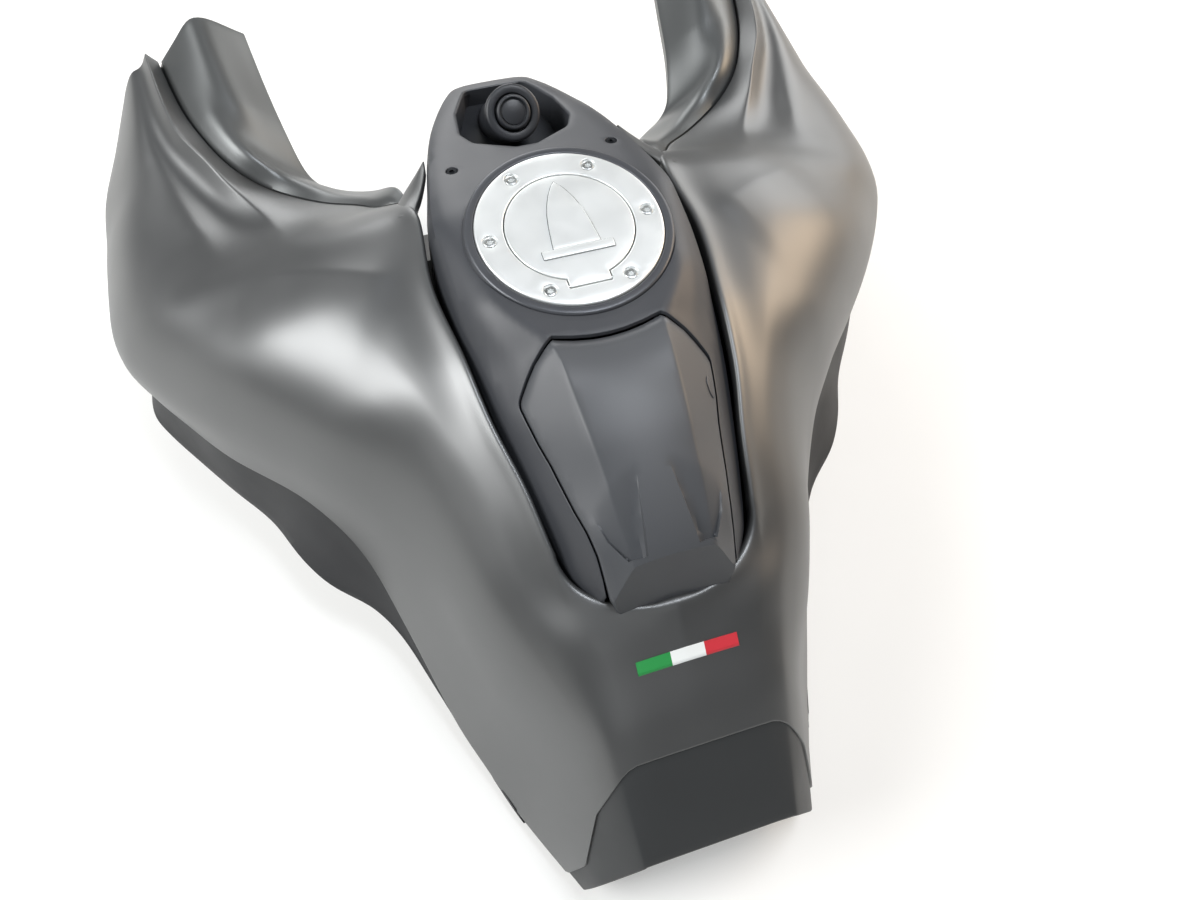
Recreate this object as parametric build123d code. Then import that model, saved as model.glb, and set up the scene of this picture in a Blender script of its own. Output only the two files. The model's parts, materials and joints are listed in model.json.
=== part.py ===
from build123d import *
import math
import os

# Fuel tank unit of a large touring motorcycle, taken off the frame. A wide painted cover lies over the
# tank vessel, a dark spine panel runs along its middle with the filler cap and a storage box under a
# hinged lid, and the whole unit hangs on two bushed ears in front and one bushed bracket at the back.
# Millimetres. Forward is +X, left is +Y, up is +Z. Everything is drawn from the centre of the filler
# cap's top face and moved once at the end, so that the origin is the middle of the rear mounting bolt.

# Places of the mountings, from the cap
rear_bolt_x, rear_bolt_z = -362.0, -262.0
front_bolt_x, front_bolt_z = 134.0, -215.0
front_ear_y = 62.0

# Walls and gaps
cover_wall = 3.0
panel_wall = 3.0
lid_wall = 2.5
seat_gap = 0.3
shut_gap = 1.2
lid_front_gap = 2.0

# Filler cap
cap_radius = 65.0
cap_thick = 5.0
cap_edge_round = 1.4
bezel_radius = 72.0
bezel_foot_radius = 78.0
bezel_depth = 24.0
neck_radius = 40.0
neck_wall = 3.0
neck_depth = 95.0
flap_radius = 44.5
flap_thick = 3.2
flap_gap = 0.7
tab_half_width = 14.5
flap_pin_x, flap_pin_z = -46.8, -2.9
flap_pin_radius = 1.5
tab_nose_radius = 2.4
plug_radius = 34.0
plug_depth = 10.0
key_cover_thick = 1.3
key_cover_back, key_cover_front = -24.3, 38.8
key_bar_half_width, key_bar_depth = 25.0, 6.8
key_arrow_half_width = 17.5
screw_circle = 55.8

# Storage box and its lid
lid_front_x, lid_rear_x = -88.0, -247.0
lid_corner_y, lid_widest_x, lid_widest_y, lid_rear_y = 44.0, -106.0, 65.0, 42.0
lid_flange_depth = 6.0
skirt_top_x, skirt_top_z = -230.0, -41.0
skirt_foot_x, skirt_foot_z = -245.5, -80.0
tray_front_x, tray_rear_x = -106.0, -224.0
tray_inset = 9.0
tray_wall = 2.5
tray_floor_z = -104.0
tray_lip_drop = 9.5
tray_lip_thick = 2.5
panel_lip_rear_x = -165.0
lid_pin_x, lid_pin_z = -70.0, -11.0
lid_pin_radius = 2.5
arm_y, arm_width = 45.0, 6.0
arm_inner_radius, arm_outer_radius = 25.0, 31.0
arm_knuckle_radius = 4.5
lug_radius, lug_thick, lug_gap = 4.0, 4.0, 1.2
arm_foot_angle = -95.0
pin_clearance = 0.15

# Switch at the front of the spine
switch_x, switch_z, switch_tilt = 146.0, -37.0, 40.0
switch_ring_radius, switch_knob_radius = 21.5, 13.3
switch_ring_height, switch_knob_height = 9.0, 8.0
switch_tub_z = -88.0

# Fuel pump and pipes
pump_x, pump_y, pump_radius = 10.0, 140.0, 59.0
pump_plate, pump_ring_thick = 5.0, 6.0
pump_boss, pump_boss_radius = 8.0, 22.0
outlet_radius, outlet_bore = 5.0, 3.2
pipe_length = 34.0

# Mountings
bush_radius, sleeve_radius, bolt_bore = 13.0, 7.0, 4.2
bush_length, sleeve_length = 16.0, 22.0
ear_radius, ear_thick = 18.0, 5.0
bracket_width, bracket_thick, bracket_foot_y = 46.0, 4.0, 78.0

# Tank vessel
vessel_floor_z = -300.0
tunnel_half_width, tunnel_top_z = 50.0, -190.0
vessel_top_front_z, vessel_top_rear_z = -76.0, -124.0
post_radius, post_foot_z, spine_post_foot_z = 9.0, -230.0, -150.0
cover_posts = [(20, 182), (-205, 112), (262, 300)]
spine_screw_x, spine_screw_y, spine_screw_hole = 91.0, 61.5, 3.2

# Vessel sections. Columns: x, then four corners of the left half as (y, z): top edge, shoulder,
# widest point, floor edge.
vessel_sections = [
    (-318, (40, -152), (88, -192), (106, -232), (104, vessel_floor_z)),
    (-240, (66, -118), (110, -165), (124, -212), (122, vessel_floor_z)),
    (-150, (92, -88), (112, -114), (126, -165), (122, vessel_floor_z)),
    (-60, (112, -62), (164, -88), (194, -128), (150, vessel_floor_z)),
    (30, (112, -60), (218, -94), (258, -150), (212, vessel_floor_z)),
    (108, (190, -112), (250, -116), (322, -182), (292, vessel_floor_z)),
    (200, (225, -132), (264, -134), (338, -212), (312, vessel_floor_z)),
    (292, (264, -126), (284, -130), (318, -212), (306, -284)),
]
vessel_rounds = (14, 40, 60)
vessel_front_x = 108.0

# Cover sections. Columns: x, then seven corners of the left half as (y, z) from the inner edge
# outwards: inner edge, front crease, scoop, ridge, shoulder, widest point, lower edge.
cover_sections = [
    (-378, (40, -182), (58, -184), (66, -187), (82, -205), (96, -232), (106, -268), (108, -306)),
    (-310, (42, -121), (60, -125), (74, -131), (95, -152), (114, -188), (128, -240), (130, -288)),
    (-250, (44, -80), (66, -90), (82, -100), (106, -126), (128, -160), (147, -210), (148, -262)),
    (-160, (79, -55), (96, -62), (106, -70), (126, -92), (142, -122), (152, -165), (148, -212)),
    (-70, (92, -33), (122, -39), (142, -45), (176, -64), (205, -92), (220, -125), (206, -162)),
    (20, (100, -31), (146, -37), (182, -45), (226, -66), (264, -100), (287, -148), (274, -196)),
    (95, (112, -62), (186, -80), (214, -88), (256, -90), (310, -114), (349, -170), (340, -240)),
    (185, (206, -106), (229, -91), (246, -112), (275, -97), (322, -134), (367, -200), (358, -286)),
    (260, (246, -96), (262, -86), (274, -106), (290, -98), (322, -148), (362, -212), (355, -292)),
    (335, (262, -94), (272, -84), (278, -98), (286, -96), (304, -142), (340, -216), (334, -284)),
]
cover_rounds = (12, 6, 14, 14, 60, 60)

# Spine sections. Columns: x, height on the middle line, then four corners of the left half as (y, z):
# ridge, lid line, edge, foot of the wall, end of the foot under the cover.
spine_sections = [
    (222, -73.0, (30, -74), (37, -75), (42, -78), (43.5, -92), (46, -94)),
    (150, -46.0, (54, -47), (62, -48), (67, -51), (68.5, -72), (72, -74)),
    (95, -28.0, (64, -29), (73, -30.5), (79, -33), (81, -77), (98, -80)),
    (30, -8.0, (66, -9), (80, -11), (89, -17), (91, -46), (104, -48)),
    (-40, -1.4, (66, -2.2), (77, -9), (87.5, -22), (89.5, -47), (98, -48)),
    (-90, -2.2, (37, -1.1), (60, -15), (80, -33), (82, -52), (94, -54)),
    (-125, -3.2, (34.8, -5.5), (63, -30), (73.5, -43), (75.5, -60), (88, -62)),
    (-172, -14.5, (31, -18.7), (54, -38.5), (63, -52.5), (65, -73), (79, -75)),
    (-215, -31.5, (28, -34.5), (45, -46.5), (51, -56), (53, -89), (69, -91)),
    (-262, -54.0, (25, -57), (38, -66), (42, -78), (44, -110), (58, -112)),
]
spine_rounds = (1.5, 1.5, 3, 5, 8)
spine_crown_round = 300.0

# Plan of the switch recess, half of it from the back forwards: (x, y, corner radius)
switch_plan = [(108, 10, 4), (124, 37, 10), (140, 44, 10), (174, 40, 12), (210, 25, 8)]

# Corners of the left scoop in the lid's top: fin, tip, outer foot, inner foot
scoop_corners = [(-175, 11, -15), (-196, 42, -39), (-229, 29, -42), (-230, 16, -41)]
scoop_depth = 5.0

# Plan of the cover's opening, half of it from the back forwards: (x, y, corner radius)
opening_plan = [
    (-249.5, 45, 14), (-206, 69.5, 60), (-145, 82, 80), (-53, 94, 80), (30, 100.5, 60), (66, 97, 20),
    (99, 112, 30), (176, 190, 20), (207, 224, 30), (258, 248, 40), (350, 270, 0),
]

# Front inner trims, stations along the seam. Columns: seam (x, y, z), opening edge (x, y, z), and the
# heights of the outer edge and of the crease, at a quarter and at half of the way across.
trim_stations = [
    ((106, 118, -68), (117, 101, -62), -66, -63),
    ((132, 133, -90), (155, 115, -103), -91, -95),
    ((160, 166, -108), (192, 136, -138), -109, -118),
    ((182, 196, -113), (213, 155, -151), -108, -118),
    ((204, 222, -102), (219, 168, -136), -91, -106),
    ((245, 244, -96), (253, 177, -114), -84, -86),
    ((275, 254, -95), (297, 184, -104), -81, -74),
    ((335, 266, -93), (345, 190, -88), -76, -60),
]
trim_wall = 3.0

# Rear cover sections: x, then the left half as (y, z): top, shoulder, side, lower edge
rear_sections = [
    (-332, (60, -136), (76, -148), (92, -186), (100, -296)),
    (-362, (56, -165), (74, -178), (90, -214), (99, -296)),
    (-396, (44, -204), (62, -214), (82, -240), (95, -296)),
]
rear_rounds = (10, 16, 30)
rear_plan = [(-332, 54, 24), (-352, 82, 30), (-400, 104, 0)]

# Lower side trims, stations of the left one: x, outer y, upper z, lower y, lower z
side_trim_stations = [
    (-330, 116.8, -276, 113.8, -302),
    (-240, 142.8, -254, 136.8, -302),
    (-150, 142.8, -206, 134.8, -300),
    (-66, 200.8, -156, 166.8, -298),
    (10, 262.8, -184, 226.8, -306),
    (90, 333.8, -232, 318.8, -322),
    (160, 348.8, -270, 338.8, -330),
    (240, 350.8, -280, 342.8, -332),
]
side_trim_wall = 3.0
vent_front_x, vent_rear_x, vent_low_z, vent_high_z = 148.0, 62.0, -312.0, -276.0
vent_blades = 4
vent_blade_thick = 2.5

# Heights and widths beyond every piece, for cutting solids
low_z, high_z, far_y = -360.0, 60.0, 420.0
edge_depth = 12.0


def mirrored(half):
    """Both halves of a section, from the right lower edge over the top to the left lower edge."""
    right = [(-y, z) for y, z in reversed(half) if y > 0]
    return right + list(half)


def inset(outline, depth):
    """An outline that runs over the top towards +Y, moved inwards by a depth."""
    moved = []
    for i, (y, z) in enumerate(outline):
        normals = []
        for j in (i - 1, i):
            if 0 <= j < len(outline) - 1:
                dy, dz = outline[j + 1][0] - outline[j][0], outline[j + 1][1] - outline[j][1]
                run = math.hypot(dy, dz)
                normals.append((dz / run, -dy / run))
        ny = sum(n[0] for n in normals) / len(normals)
        nz = sum(n[1] for n in normals) / len(normals)
        reach = depth / (ny * ny + nz * nz)
        moved.append((y + ny * reach, z + nz * reach))
    return moved


def fitted_rounds(points, wanted):
    """Each wanted corner radius, or less where the runs beside the corner are short."""
    fitted = []
    for before, corner, after, radius in zip(points, points[1:], points[2:], wanted):
        back, ahead = before - corner, after - corner
        half_turn = math.radians(180 - back.get_angle(ahead)) / 2
        room = 0.45 * min(back.length, ahead.length) / max(math.tan(half_turn), 1e-6)
        fitted.append(min(radius, room))
    return fitted


def cross_face(x, outline, rounds):
    """Closed face across the unit at x, under an outline with rounded corners."""
    points = [Vector(x, y, z) for y, z in outline]
    top = FilletPolyline(*points, radius=fitted_rounds(points, rounds))
    return make_face([*top.edges(), Line(points[-1], points[0])])


def continued(section, before, length):
    """An end section carried on in a straight line past its place."""
    share = length / abs(section[0] - before[0])
    x = section[0] + (section[0] - before[0]) * share
    corners = [(a[0] + (a[0] - b[0]) * share, a[1] + (a[1] - b[1]) * share)
               for a, b in zip(section[1], before[1])]
    return x, corners


def hull_body(sections, rounds, depth=0.0, deeper=0.0, longer=0.0):
    """Solid through mirrored sections, moved inwards by a depth, with lower feet and longer ends."""
    rows = [(x, inset(mirrored(half), depth)) for x, half in sections]
    if longer:
        first, last = continued(rows[0], rows[1], longer), continued(rows[-1], rows[-2], longer)
        rows = [first, *rows[1:-1], last]
    middle = 1 if sections[0][1][0][0] == 0 else 0
    both = list(reversed(rounds)) + list(rounds)[middle:]
    faces = []
    for x, outline in rows:
        feet = [(outline[0][0], outline[0][1] - deeper), (outline[-1][0], outline[-1][1] - deeper)]
        faces.append(cross_face(x, [feet[0], *outline[1:-1], feet[1]], both))
    return loft(faces, ruled=True)


def plan_face(half, grow=0.0):
    """Closed plan face from the left half of an outline, mirrored on the middle line."""
    points = [Vector(x, y) for x, y, _ in half] + [Vector(x, -y) for x, y, _ in reversed(half)]
    rounds = [r for _, _, r in half] + [r for _, _, r in reversed(half)]
    ring = [points[-1]] + points + [points[0]]
    outline = FilletPolyline(*points, radius=fitted_rounds(ring, rounds), close=True)
    face = make_face(outline.edges())
    return offset(face, amount=grow, kind=Kind.INTERSECTION) if grow else face


def plan_prism(half, low, high, grow=0.0):
    """Upright prism on a plan outline between two heights."""
    return Pos(0, 0, low) * extrude(plan_face(half, grow), amount=high - low)


def side_prism(points, y0, y1):
    """Prism on an (x, z) outline between two distances from the middle."""
    face = make_face(Polyline(*[Vector(x, 0, z) for x, z in points], close=True).edges())
    body = extrude(face, amount=y1 - y0, dir=(0, 1, 0))
    return Pos(0, y0, 0) * body


def block(x0, x1, y0, y1, z0, z1):
    """Box between two corners."""
    return Pos((x0 + x1) / 2, (y0 + y1) / 2, (z0 + z1) / 2) * Box(x1 - x0, y1 - y0, z1 - z0)


def disc(radius, low, high, x=0.0, y=0.0):
    """Upright cylinder between two heights."""
    return Pos(x, y, (low + high) / 2) * Cylinder(radius, high - low)


def cross_rod(radius, x, z, y0, y1):
    """Cylinder along Y between two distances from the middle."""
    return Pos(x, (y0 + y1) / 2, z) * Rot(90, 0, 0) * Cylinder(radius, y1 - y0)


def turned(profile):
    """Solid of revolution about the cap's axis from an (r, z) outline."""
    face = make_face(Polyline(*[Vector(r, 0, z) for r, z in profile], close=True).edges())
    return revolve(face, axis=Axis.Z)


def both_sides(piece):
    """A piece and its mirror image on the right side."""
    return piece + mirror(piece, about=Plane.XZ)


def cover_solid(depth=0.0, deeper=0.0, longer=0.0):
    """The cover's outer form as one solid, moved inwards by a depth."""
    sections = [(row[0], row[1:]) for row in cover_sections]
    return hull_body(sections, cover_rounds, depth, deeper, longer)


def tank_cover():
    """Painted cover with a turned-down edge round its opening."""
    opening = plan_prism(opening_plan, low_z, high_z)
    edge_line = [(row[0], row[1][1] - edge_depth) for row in cover_sections]
    above_edge = side_prism([*edge_line, (edge_line[-1][0], high_z), (edge_line[0][0], high_z)], -far_y, far_y)
    edge_zone = (plan_prism(opening_plan, low_z, high_z, cover_wall) - opening) & above_edge
    cavity = cover_solid(cover_wall, 12, 8) - edge_zone
    back = plan_prism(rear_plan, low_z, high_z, seat_gap)
    return cover_solid() - cavity - opening - back


def front_inner_trim():
    """Left inner trim: a thin bowed strip from the cover's seam to the edge of the opening."""
    faces = []
    for seam, edge, outer_z, crease_z in trim_stations:
        start, end = Vector(*seam), Vector(*edge)
        across = end - start
        quarter = Vector(start.X + across.X / 4, start.Y + across.Y / 4, outer_z)
        half_way = Vector(start.X + across.X / 2, start.Y + across.Y / 2, crease_z)
        top = [start, quarter, half_way, end]
        low = [p - Vector(0, 0, trim_wall) for p in reversed(top)]
        faces.append(make_face(Polyline(*top, *low, close=True).edges()))
    return loft(faces, ruled=True) & plan_prism(opening_plan, low_z, high_z, -seat_gap)


def spine_solid(depth=0.0, deeper=0.0, longer=0.0, drop=0.0):
    """The spine under its top surface, moved inwards by a depth or lowered by a drop."""
    rows = [(row[0], ((0, row[1]), *row[2:])) for row in spine_sections]
    rounds = (spine_crown_round, *spine_rounds[:4])
    return Pos(0, 0, -drop) * hull_body(rows, rounds, depth, deeper, longer)


def lid_plan(gap=0.0):
    """Plan of the storage lid, or with a gap of the hole that it lies in."""
    front = lid_front_x + (lid_front_gap if gap else 0)
    return [
        (lid_rear_x - 2 * gap, lid_rear_y + gap, 8),
        (lid_widest_x, lid_widest_y + gap, 14),
        (front, lid_corner_y + gap, 14),
    ]


def ahead_of_skirt(depth=0.0):
    """Everything ahead of the lid's sloping rear face, moved forwards by a depth."""
    run, fall = skirt_foot_x - skirt_top_x, skirt_foot_z - skirt_top_z
    top = (skirt_top_x + depth - run * 3, skirt_top_z - fall * 3)
    foot = (skirt_top_x + depth + run * 3, skirt_top_z + fall * 3)
    return side_prism([top, foot, (vessel_front_x, foot[1]), (vessel_front_x, top[1])], -far_y, far_y)


def bezel_profile():
    """Outline of the bezel as (r, z)."""
    inner, seat = cap_radius + 0.5, -cap_thick - neck_wall
    return [
        (inner, -1.0), (bezel_radius - 1.5, -1.0), (bezel_radius, -2.5), (bezel_foot_radius, -bezel_depth),
        (bezel_foot_radius - 3, -bezel_depth), (bezel_radius - 3, seat - 3), (neck_radius, seat - 3),
        (neck_radius, seat), (inner, seat),
    ]


def spine_panel():
    """Dark panel along the middle, with the cap's hole, the lid's hole and the switch recess."""
    shell = spine_solid() - spine_solid(panel_wall, 10, 8)
    lip = plan_prism(lid_plan(shut_gap), low_z, high_z, panel_wall) & spine_solid(deeper=100)
    lip -= spine_solid(deeper=120, longer=8, drop=tray_lip_drop)
    shell += lip & block(panel_lip_rear_x, lid_widest_x, -far_y, far_y, low_z, high_z)
    shell -= plan_prism(lid_plan(shut_gap), low_z, high_z)
    rim = bezel_radius + seat_gap
    foot = bezel_foot_radius + seat_gap
    shell -= turned([(0, 10), (rim, 10), (rim, -2.5), (foot, -bezel_depth), (foot, -80), (0, -80)])
    shell -= plan_prism(switch_plan, low_z, high_z)
    shell -= block(-400, lid_rear_x + 8, -far_y, far_y, low_z, high_z)
    return shell - both_sides(disc(spine_screw_hole, low_z, high_z, spine_screw_x, spine_screw_y))


def scoop_cutter():
    """Left wedge that deepens towards the lid's rear edge."""
    fin, tip, outer, inner = [Vector(*corner) for corner in scoop_corners]
    plan = make_face(Polyline(*[Vector(p.X, p.Y, 10) for p in (fin, tip, outer, inner)], close=True).edges())
    column = extrude(plan, amount=-100, dir=(0, 0, 1))
    sunk = outer - Vector(0, 0, scoop_depth)
    upward = (fin - tip).cross(sunk - tip).normalized()
    if upward.Z < 0:
        upward = -upward
    return split(column, bisect_by=Plane(origin=tip, z_dir=upward), keep=Keep.TOP)


def storage_lid():
    """Lid of the storage box, with a turned-down edge, a sloping rear skirt and two scoops."""
    top = spine_solid(deeper=100, longer=8)
    whole = top & plan_prism(lid_plan(), low_z, high_z) & ahead_of_skirt()
    hollow = spine_solid(lid_wall, 100, 8) & plan_prism(lid_plan(), low_z, high_z, -lid_wall)
    hollow &= ahead_of_skirt(lid_wall)
    under_edge = spine_solid(deeper=120, longer=8, drop=lid_flange_depth)
    under_front = spine_solid(lid_wall, 120, 8)
    behind = block(skirt_top_x, lid_widest_x - 4, -far_y, far_y, low_z, high_z)
    before = block(lid_widest_x - 4, 0, -far_y, far_y, low_z, high_z)
    skirt = block(lid_rear_x - 30, skirt_top_x, -far_y, far_y, skirt_foot_z, high_z)
    lid = ((whole - under_edge) & behind) + ((whole - under_front) & before) + (whole & skirt)
    return lid - hollow - both_sides(scoop_cutter())


def tray_plan(wall=0.0):
    """Plan of the storage tray, or of its inside."""
    return [
        (tray_rear_x + wall, lid_rear_y - 2 - wall, 8),
        (tray_front_x - wall, lid_widest_y - tray_inset - wall, 10),
    ]


def storage_tray():
    """Open box under the lid, with a lip under the panel and two lugs for the lid's pins."""
    below = spine_solid(deeper=120, drop=tray_lip_drop)
    box = plan_prism(tray_plan(), tray_floor_z, high_z) & below
    lip = plan_prism(lid_plan(shut_gap), low_z, high_z, 5) & below
    lip -= spine_solid(deeper=140, longer=8, drop=tray_lip_drop + tray_lip_thick)
    lip &= block(tray_rear_x, tray_front_x, -far_y, far_y, low_z, high_z)
    lip &= spine_solid(panel_wall + seat_gap, 120, 8)
    inside = plan_prism(tray_plan(tray_wall), tray_floor_z + tray_wall, high_z)
    return box + lip - inside + both_sides(hinge_lug())


def hinge_lug():
    """Left lug that carries a pin of the lid ahead of the tray."""
    outer = arm_y - arm_width / 2 - lug_gap
    inner = outer - lug_thick
    wall_x = tray_front_x - 0.5
    outline = [
        (wall_x, -32), (lid_pin_x - 15, -28), (lid_pin_x - lug_radius, lid_pin_z),
        (lid_pin_x + lug_radius, lid_pin_z), (lid_pin_x - lug_radius, lid_pin_z - 14),
        (lid_pin_x - 14, -46), (wall_x, -50),
    ]
    lug = side_prism(outline, inner, outer) + cross_rod(lug_radius, lid_pin_x, lid_pin_z, inner, outer)
    return lug - cross_rod(lid_pin_radius, lid_pin_x, lid_pin_z, inner - 1, outer + 1)


def lid_arm():
    """Left goose-neck arm, an arc about the pin that passes below the panel's edge."""
    y0, y1 = arm_y - arm_width / 2, arm_y + arm_width / 2
    ring = cross_rod(arm_outer_radius, 0, 0, y0, y1) - cross_rod(arm_inner_radius, 0, 0, y0 - 1, y1 + 1)
    foot = math.radians(arm_foot_angle)
    head = math.radians(30)
    reach = arm_outer_radius * 2
    wedge = side_prism([(0, 0), (-reach * math.cos(foot), reach * math.sin(foot)), (-reach, -reach),
                        (-reach, 0), (-reach * math.cos(head), reach * math.sin(head))], y0 - 1, y1 + 1)
    half = arm_knuckle_radius - 1
    web = Rot(0, -(arm_foot_angle + 90) - 7, 0) * block(-half, half, y0, y1, -arm_outer_radius + 1, 0)
    arm = (ring & wedge) + web + cross_rod(arm_knuckle_radius, 0, 0, y0, y1)
    arm = Pos(lid_pin_x, 0, lid_pin_z) * arm & spine_solid(lid_wall, 100, 8)
    hole = cross_rod(lid_pin_radius + pin_clearance, lid_pin_x, lid_pin_z, y0 - 1, y1 + 1)
    return arm - hole


def lid_pin():
    """Left pin of the lid."""
    inner = arm_y - arm_width / 2 - lug_gap - lug_thick
    return cross_rod(lid_pin_radius, lid_pin_x, lid_pin_z, inner, arm_y + arm_width / 2)


def lid_latch():
    """Latch tongue that hangs inside the back of the tray."""
    return block(-219, -216, -8, 8, -56, 0) & spine_solid(lid_wall, 100)


def lid_button():
    """Low release button on the right flank of the lid."""
    raised = spine_solid(drop=-1.4) - spine_solid(deeper=20, longer=8)
    return raised & block(-139, -123, -63, -57, low_z, high_z)


def cap_ring():
    """Screwed ring of the filler cap, open for the flap and its hinge tab."""
    ring = disc(cap_radius, -cap_thick, 0)
    ring = fillet(ring.edges().filter_by(GeomType.CIRCLE).sort_by(Axis.Z)[-1], cap_edge_round)
    hole = flap_radius + flap_gap
    ring -= disc(hole, -cap_thick, 0) + turned([(hole - 1, 0.5), (hole + 1.2, 0.5), (hole - 1, -1.7)])
    half = tab_half_width + flap_gap
    ring -= block(flap_pin_x + flap_pin_z - flap_gap, 0, -half, half, -cap_thick, 0)
    ring -= cross_rod(flap_pin_radius, flap_pin_x, flap_pin_z, -tab_half_width - 4, tab_half_width + 4)
    for turn in range(6):
        angle = math.radians(30 + 60 * turn)
        ring -= disc(5.2, -1.2, 0, screw_circle * math.cos(angle), screw_circle * math.sin(angle))
    return ring


def filler_flap():
    """Hinged flap with its tab rounded about the pin."""
    flap = disc(flap_radius, -flap_thick, 0)
    low, rim = -flap_thick - 0.5, flap_radius + 1
    flap -= turned([(rim, low), (flap_radius - 1.3, low), (rim, -flap_thick + 1.8)])
    flap += block(flap_pin_x, -38, -tab_half_width, tab_half_width, -flap_thick, 0)
    flap += cross_rod(tab_nose_radius, flap_pin_x, flap_pin_z, -tab_half_width, tab_half_width)
    bore = flap_pin_radius + pin_clearance
    return flap - cross_rod(bore, flap_pin_x, flap_pin_z, -tab_half_width, tab_half_width)


def flap_pin():
    """Pin of the flap."""
    return cross_rod(flap_pin_radius, flap_pin_x, flap_pin_z, -tab_half_width - 4, tab_half_width + 4)


def key_cover():
    """Arrow-shaped cover of the key slot with its cross bar."""
    shoulder = key_cover_back + key_bar_depth
    mid_x, mid_y = 17.0, key_arrow_half_width * 0.66
    bar = block(key_cover_back, shoulder, -key_bar_half_width, key_bar_half_width, 0, key_cover_thick)
    left = ThreePointArc((shoulder, key_arrow_half_width), (mid_x, mid_y), (key_cover_front, 0))
    right = ThreePointArc((key_cover_front, 0), (mid_x, -mid_y), (shoulder, -key_arrow_half_width))
    base = Line((shoulder, -key_arrow_half_width), (shoulder, key_arrow_half_width))
    return bar + extrude(make_face([left, right, base]), amount=key_cover_thick)


def filler_plug():
    """Rubber plug under the flap."""
    top = -flap_thick
    plug = disc(plug_radius - 3, top - plug_depth, top) + disc(plug_radius, top - 6, top - 3)
    return plug


def filler_neck():
    """Flanged filler tube that reaches into the vessel."""
    neck = disc(cap_radius - 1, -cap_thick - neck_wall, -cap_thick) + disc(neck_radius, -neck_depth, -cap_thick)
    neck -= disc(neck_radius - neck_wall, -neck_depth, 0)
    half = tab_half_width + 1.5
    return neck - block(-52, -40, -half, half, -cap_thick - 1.5, 0)


def switch_axis_place():
    """Place on the switch's tilted axis at its front face."""
    return Pos(switch_x, 0, switch_z) * Rot(0, -switch_tilt, 0)


def switch_housing():
    """Tub in the recess, with a stem for the switch."""
    tub = plan_prism(switch_plan, switch_tub_z, high_z, 2.5) & spine_solid(panel_wall + seat_gap, 60)
    tub -= plan_prism(switch_plan, switch_tub_z + 3, high_z)
    stem = switch_axis_place() * disc(switch_ring_radius - 2, -80, -switch_ring_height)
    return tub + (stem & plan_prism(switch_plan, switch_tub_z + 3, high_z))


def switch_ring():
    """Ring round the knob."""
    ring = disc(switch_ring_radius, -switch_ring_height, 0) - disc(switch_knob_radius + 1, -switch_ring_height + 3, 0)
    return switch_axis_place() * ring


def switch_knob():
    """Round knob that stands a little proud of its ring."""
    knob = disc(switch_knob_radius, -switch_ring_height + 3, switch_knob_height - 4)
    knob = fillet(knob.edges().sort_by(Axis.Z)[-1], 1.5)
    return switch_axis_place() * knob


def rear_cover():
    """Near-black cover between the tank cover and the seat, closed at the back."""
    sections = [(row[0], row[1:]) for row in rear_sections]
    shell = hull_body(sections, rear_rounds) & plan_prism(rear_plan, low_z, high_z)
    inner = [(sections[0][0] + 6, sections[0][1]), sections[1], (sections[2][0] + 3, sections[2][1])]
    return shell - hull_body(inner, rear_rounds, 3, 12)


def side_trim():
    """Left lower trim along the cover's edge, with a louvred air mouth."""
    faces = []
    for x, top_y, top_z, low_y, lower_z in side_trim_stations:
        outline = [(top_y, top_z), (low_y, lower_z), (low_y - side_trim_wall, lower_z),
                   (top_y - side_trim_wall, top_z)]
        faces.append(make_face(Polyline(*[Vector(x, y, z) for y, z in outline], close=True).edges()))
    strip = loft(faces, ruled=True)
    mouth = block(vent_rear_x, vent_front_x, 0, far_y, vent_low_z, vent_high_z)
    trim = strip - mouth
    step = (vent_high_z - vent_low_z) / (vent_blades + 1)
    for blade in range(vent_blades):
        z = vent_low_z + step * (blade + 1)
        trim += strip & block(vent_rear_x, vent_front_x, 0, far_y, z, z + vent_blade_thick)
    return trim


def tank_vessel():
    """Tank vessel, hollow only where the tunnel, the neck, the tray and the frame pass."""
    sections = [(row[0], row[1:]) for row in vessel_sections]
    vessel = hull_body(sections, vessel_rounds)
    ahead = block(vessel_front_x, 500, -far_y, far_y, low_z, high_z)
    vessel -= plan_prism(opening_plan, low_z, high_z, 14) & ahead
    vessel -= block(-62, vessel_front_x, -108, 108, vessel_top_front_z, high_z)
    vessel -= block(-400, -62, -95, 95, vessel_top_rear_z, high_z)
    tunnel = block(-400, 400, -tunnel_half_width, tunnel_half_width, low_z, tunnel_top_z)
    vessel -= fillet(tunnel.edges().filter_by(Axis.X).sort_by(Axis.Z)[-2:], 24)
    vessel += both_sides(mounting_posts())
    return vessel - disc(neck_radius, -neck_depth, high_z)


def mounting_posts():
    """Left posts on the vessel that carry the cover and the spine panel."""
    posts = Part()
    for x, y in cover_posts:
        posts += disc(post_radius, post_foot_z, 0, x, y)
    posts &= cover_solid(cover_wall + seat_gap, 12)
    front = disc(post_radius, spine_post_foot_z, 0, spine_screw_x, spine_screw_y)
    return posts + (front & spine_solid(panel_wall + seat_gap, 60))


def pump_flange():
    """Plate of the fuel pump under the left lobe of the vessel."""
    low = vessel_floor_z - pump_plate
    plate = disc(pump_radius, low, vessel_floor_z, pump_x, pump_y)
    return plate + disc(pump_boss_radius, low - pump_boss, low, pump_x, pump_y)


def pump_ring():
    """Clamp ring that holds the pump's plate to the vessel."""
    plate_z = vessel_floor_z - pump_plate
    ring = disc(pump_radius + 5, plate_z - pump_ring_thick, vessel_floor_z, pump_x, pump_y)
    ring -= disc(pump_radius, plate_z, vessel_floor_z, pump_x, pump_y)
    return ring - disc(pump_radius - 12, plate_z - pump_ring_thick, plate_z, pump_x, pump_y)


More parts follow.
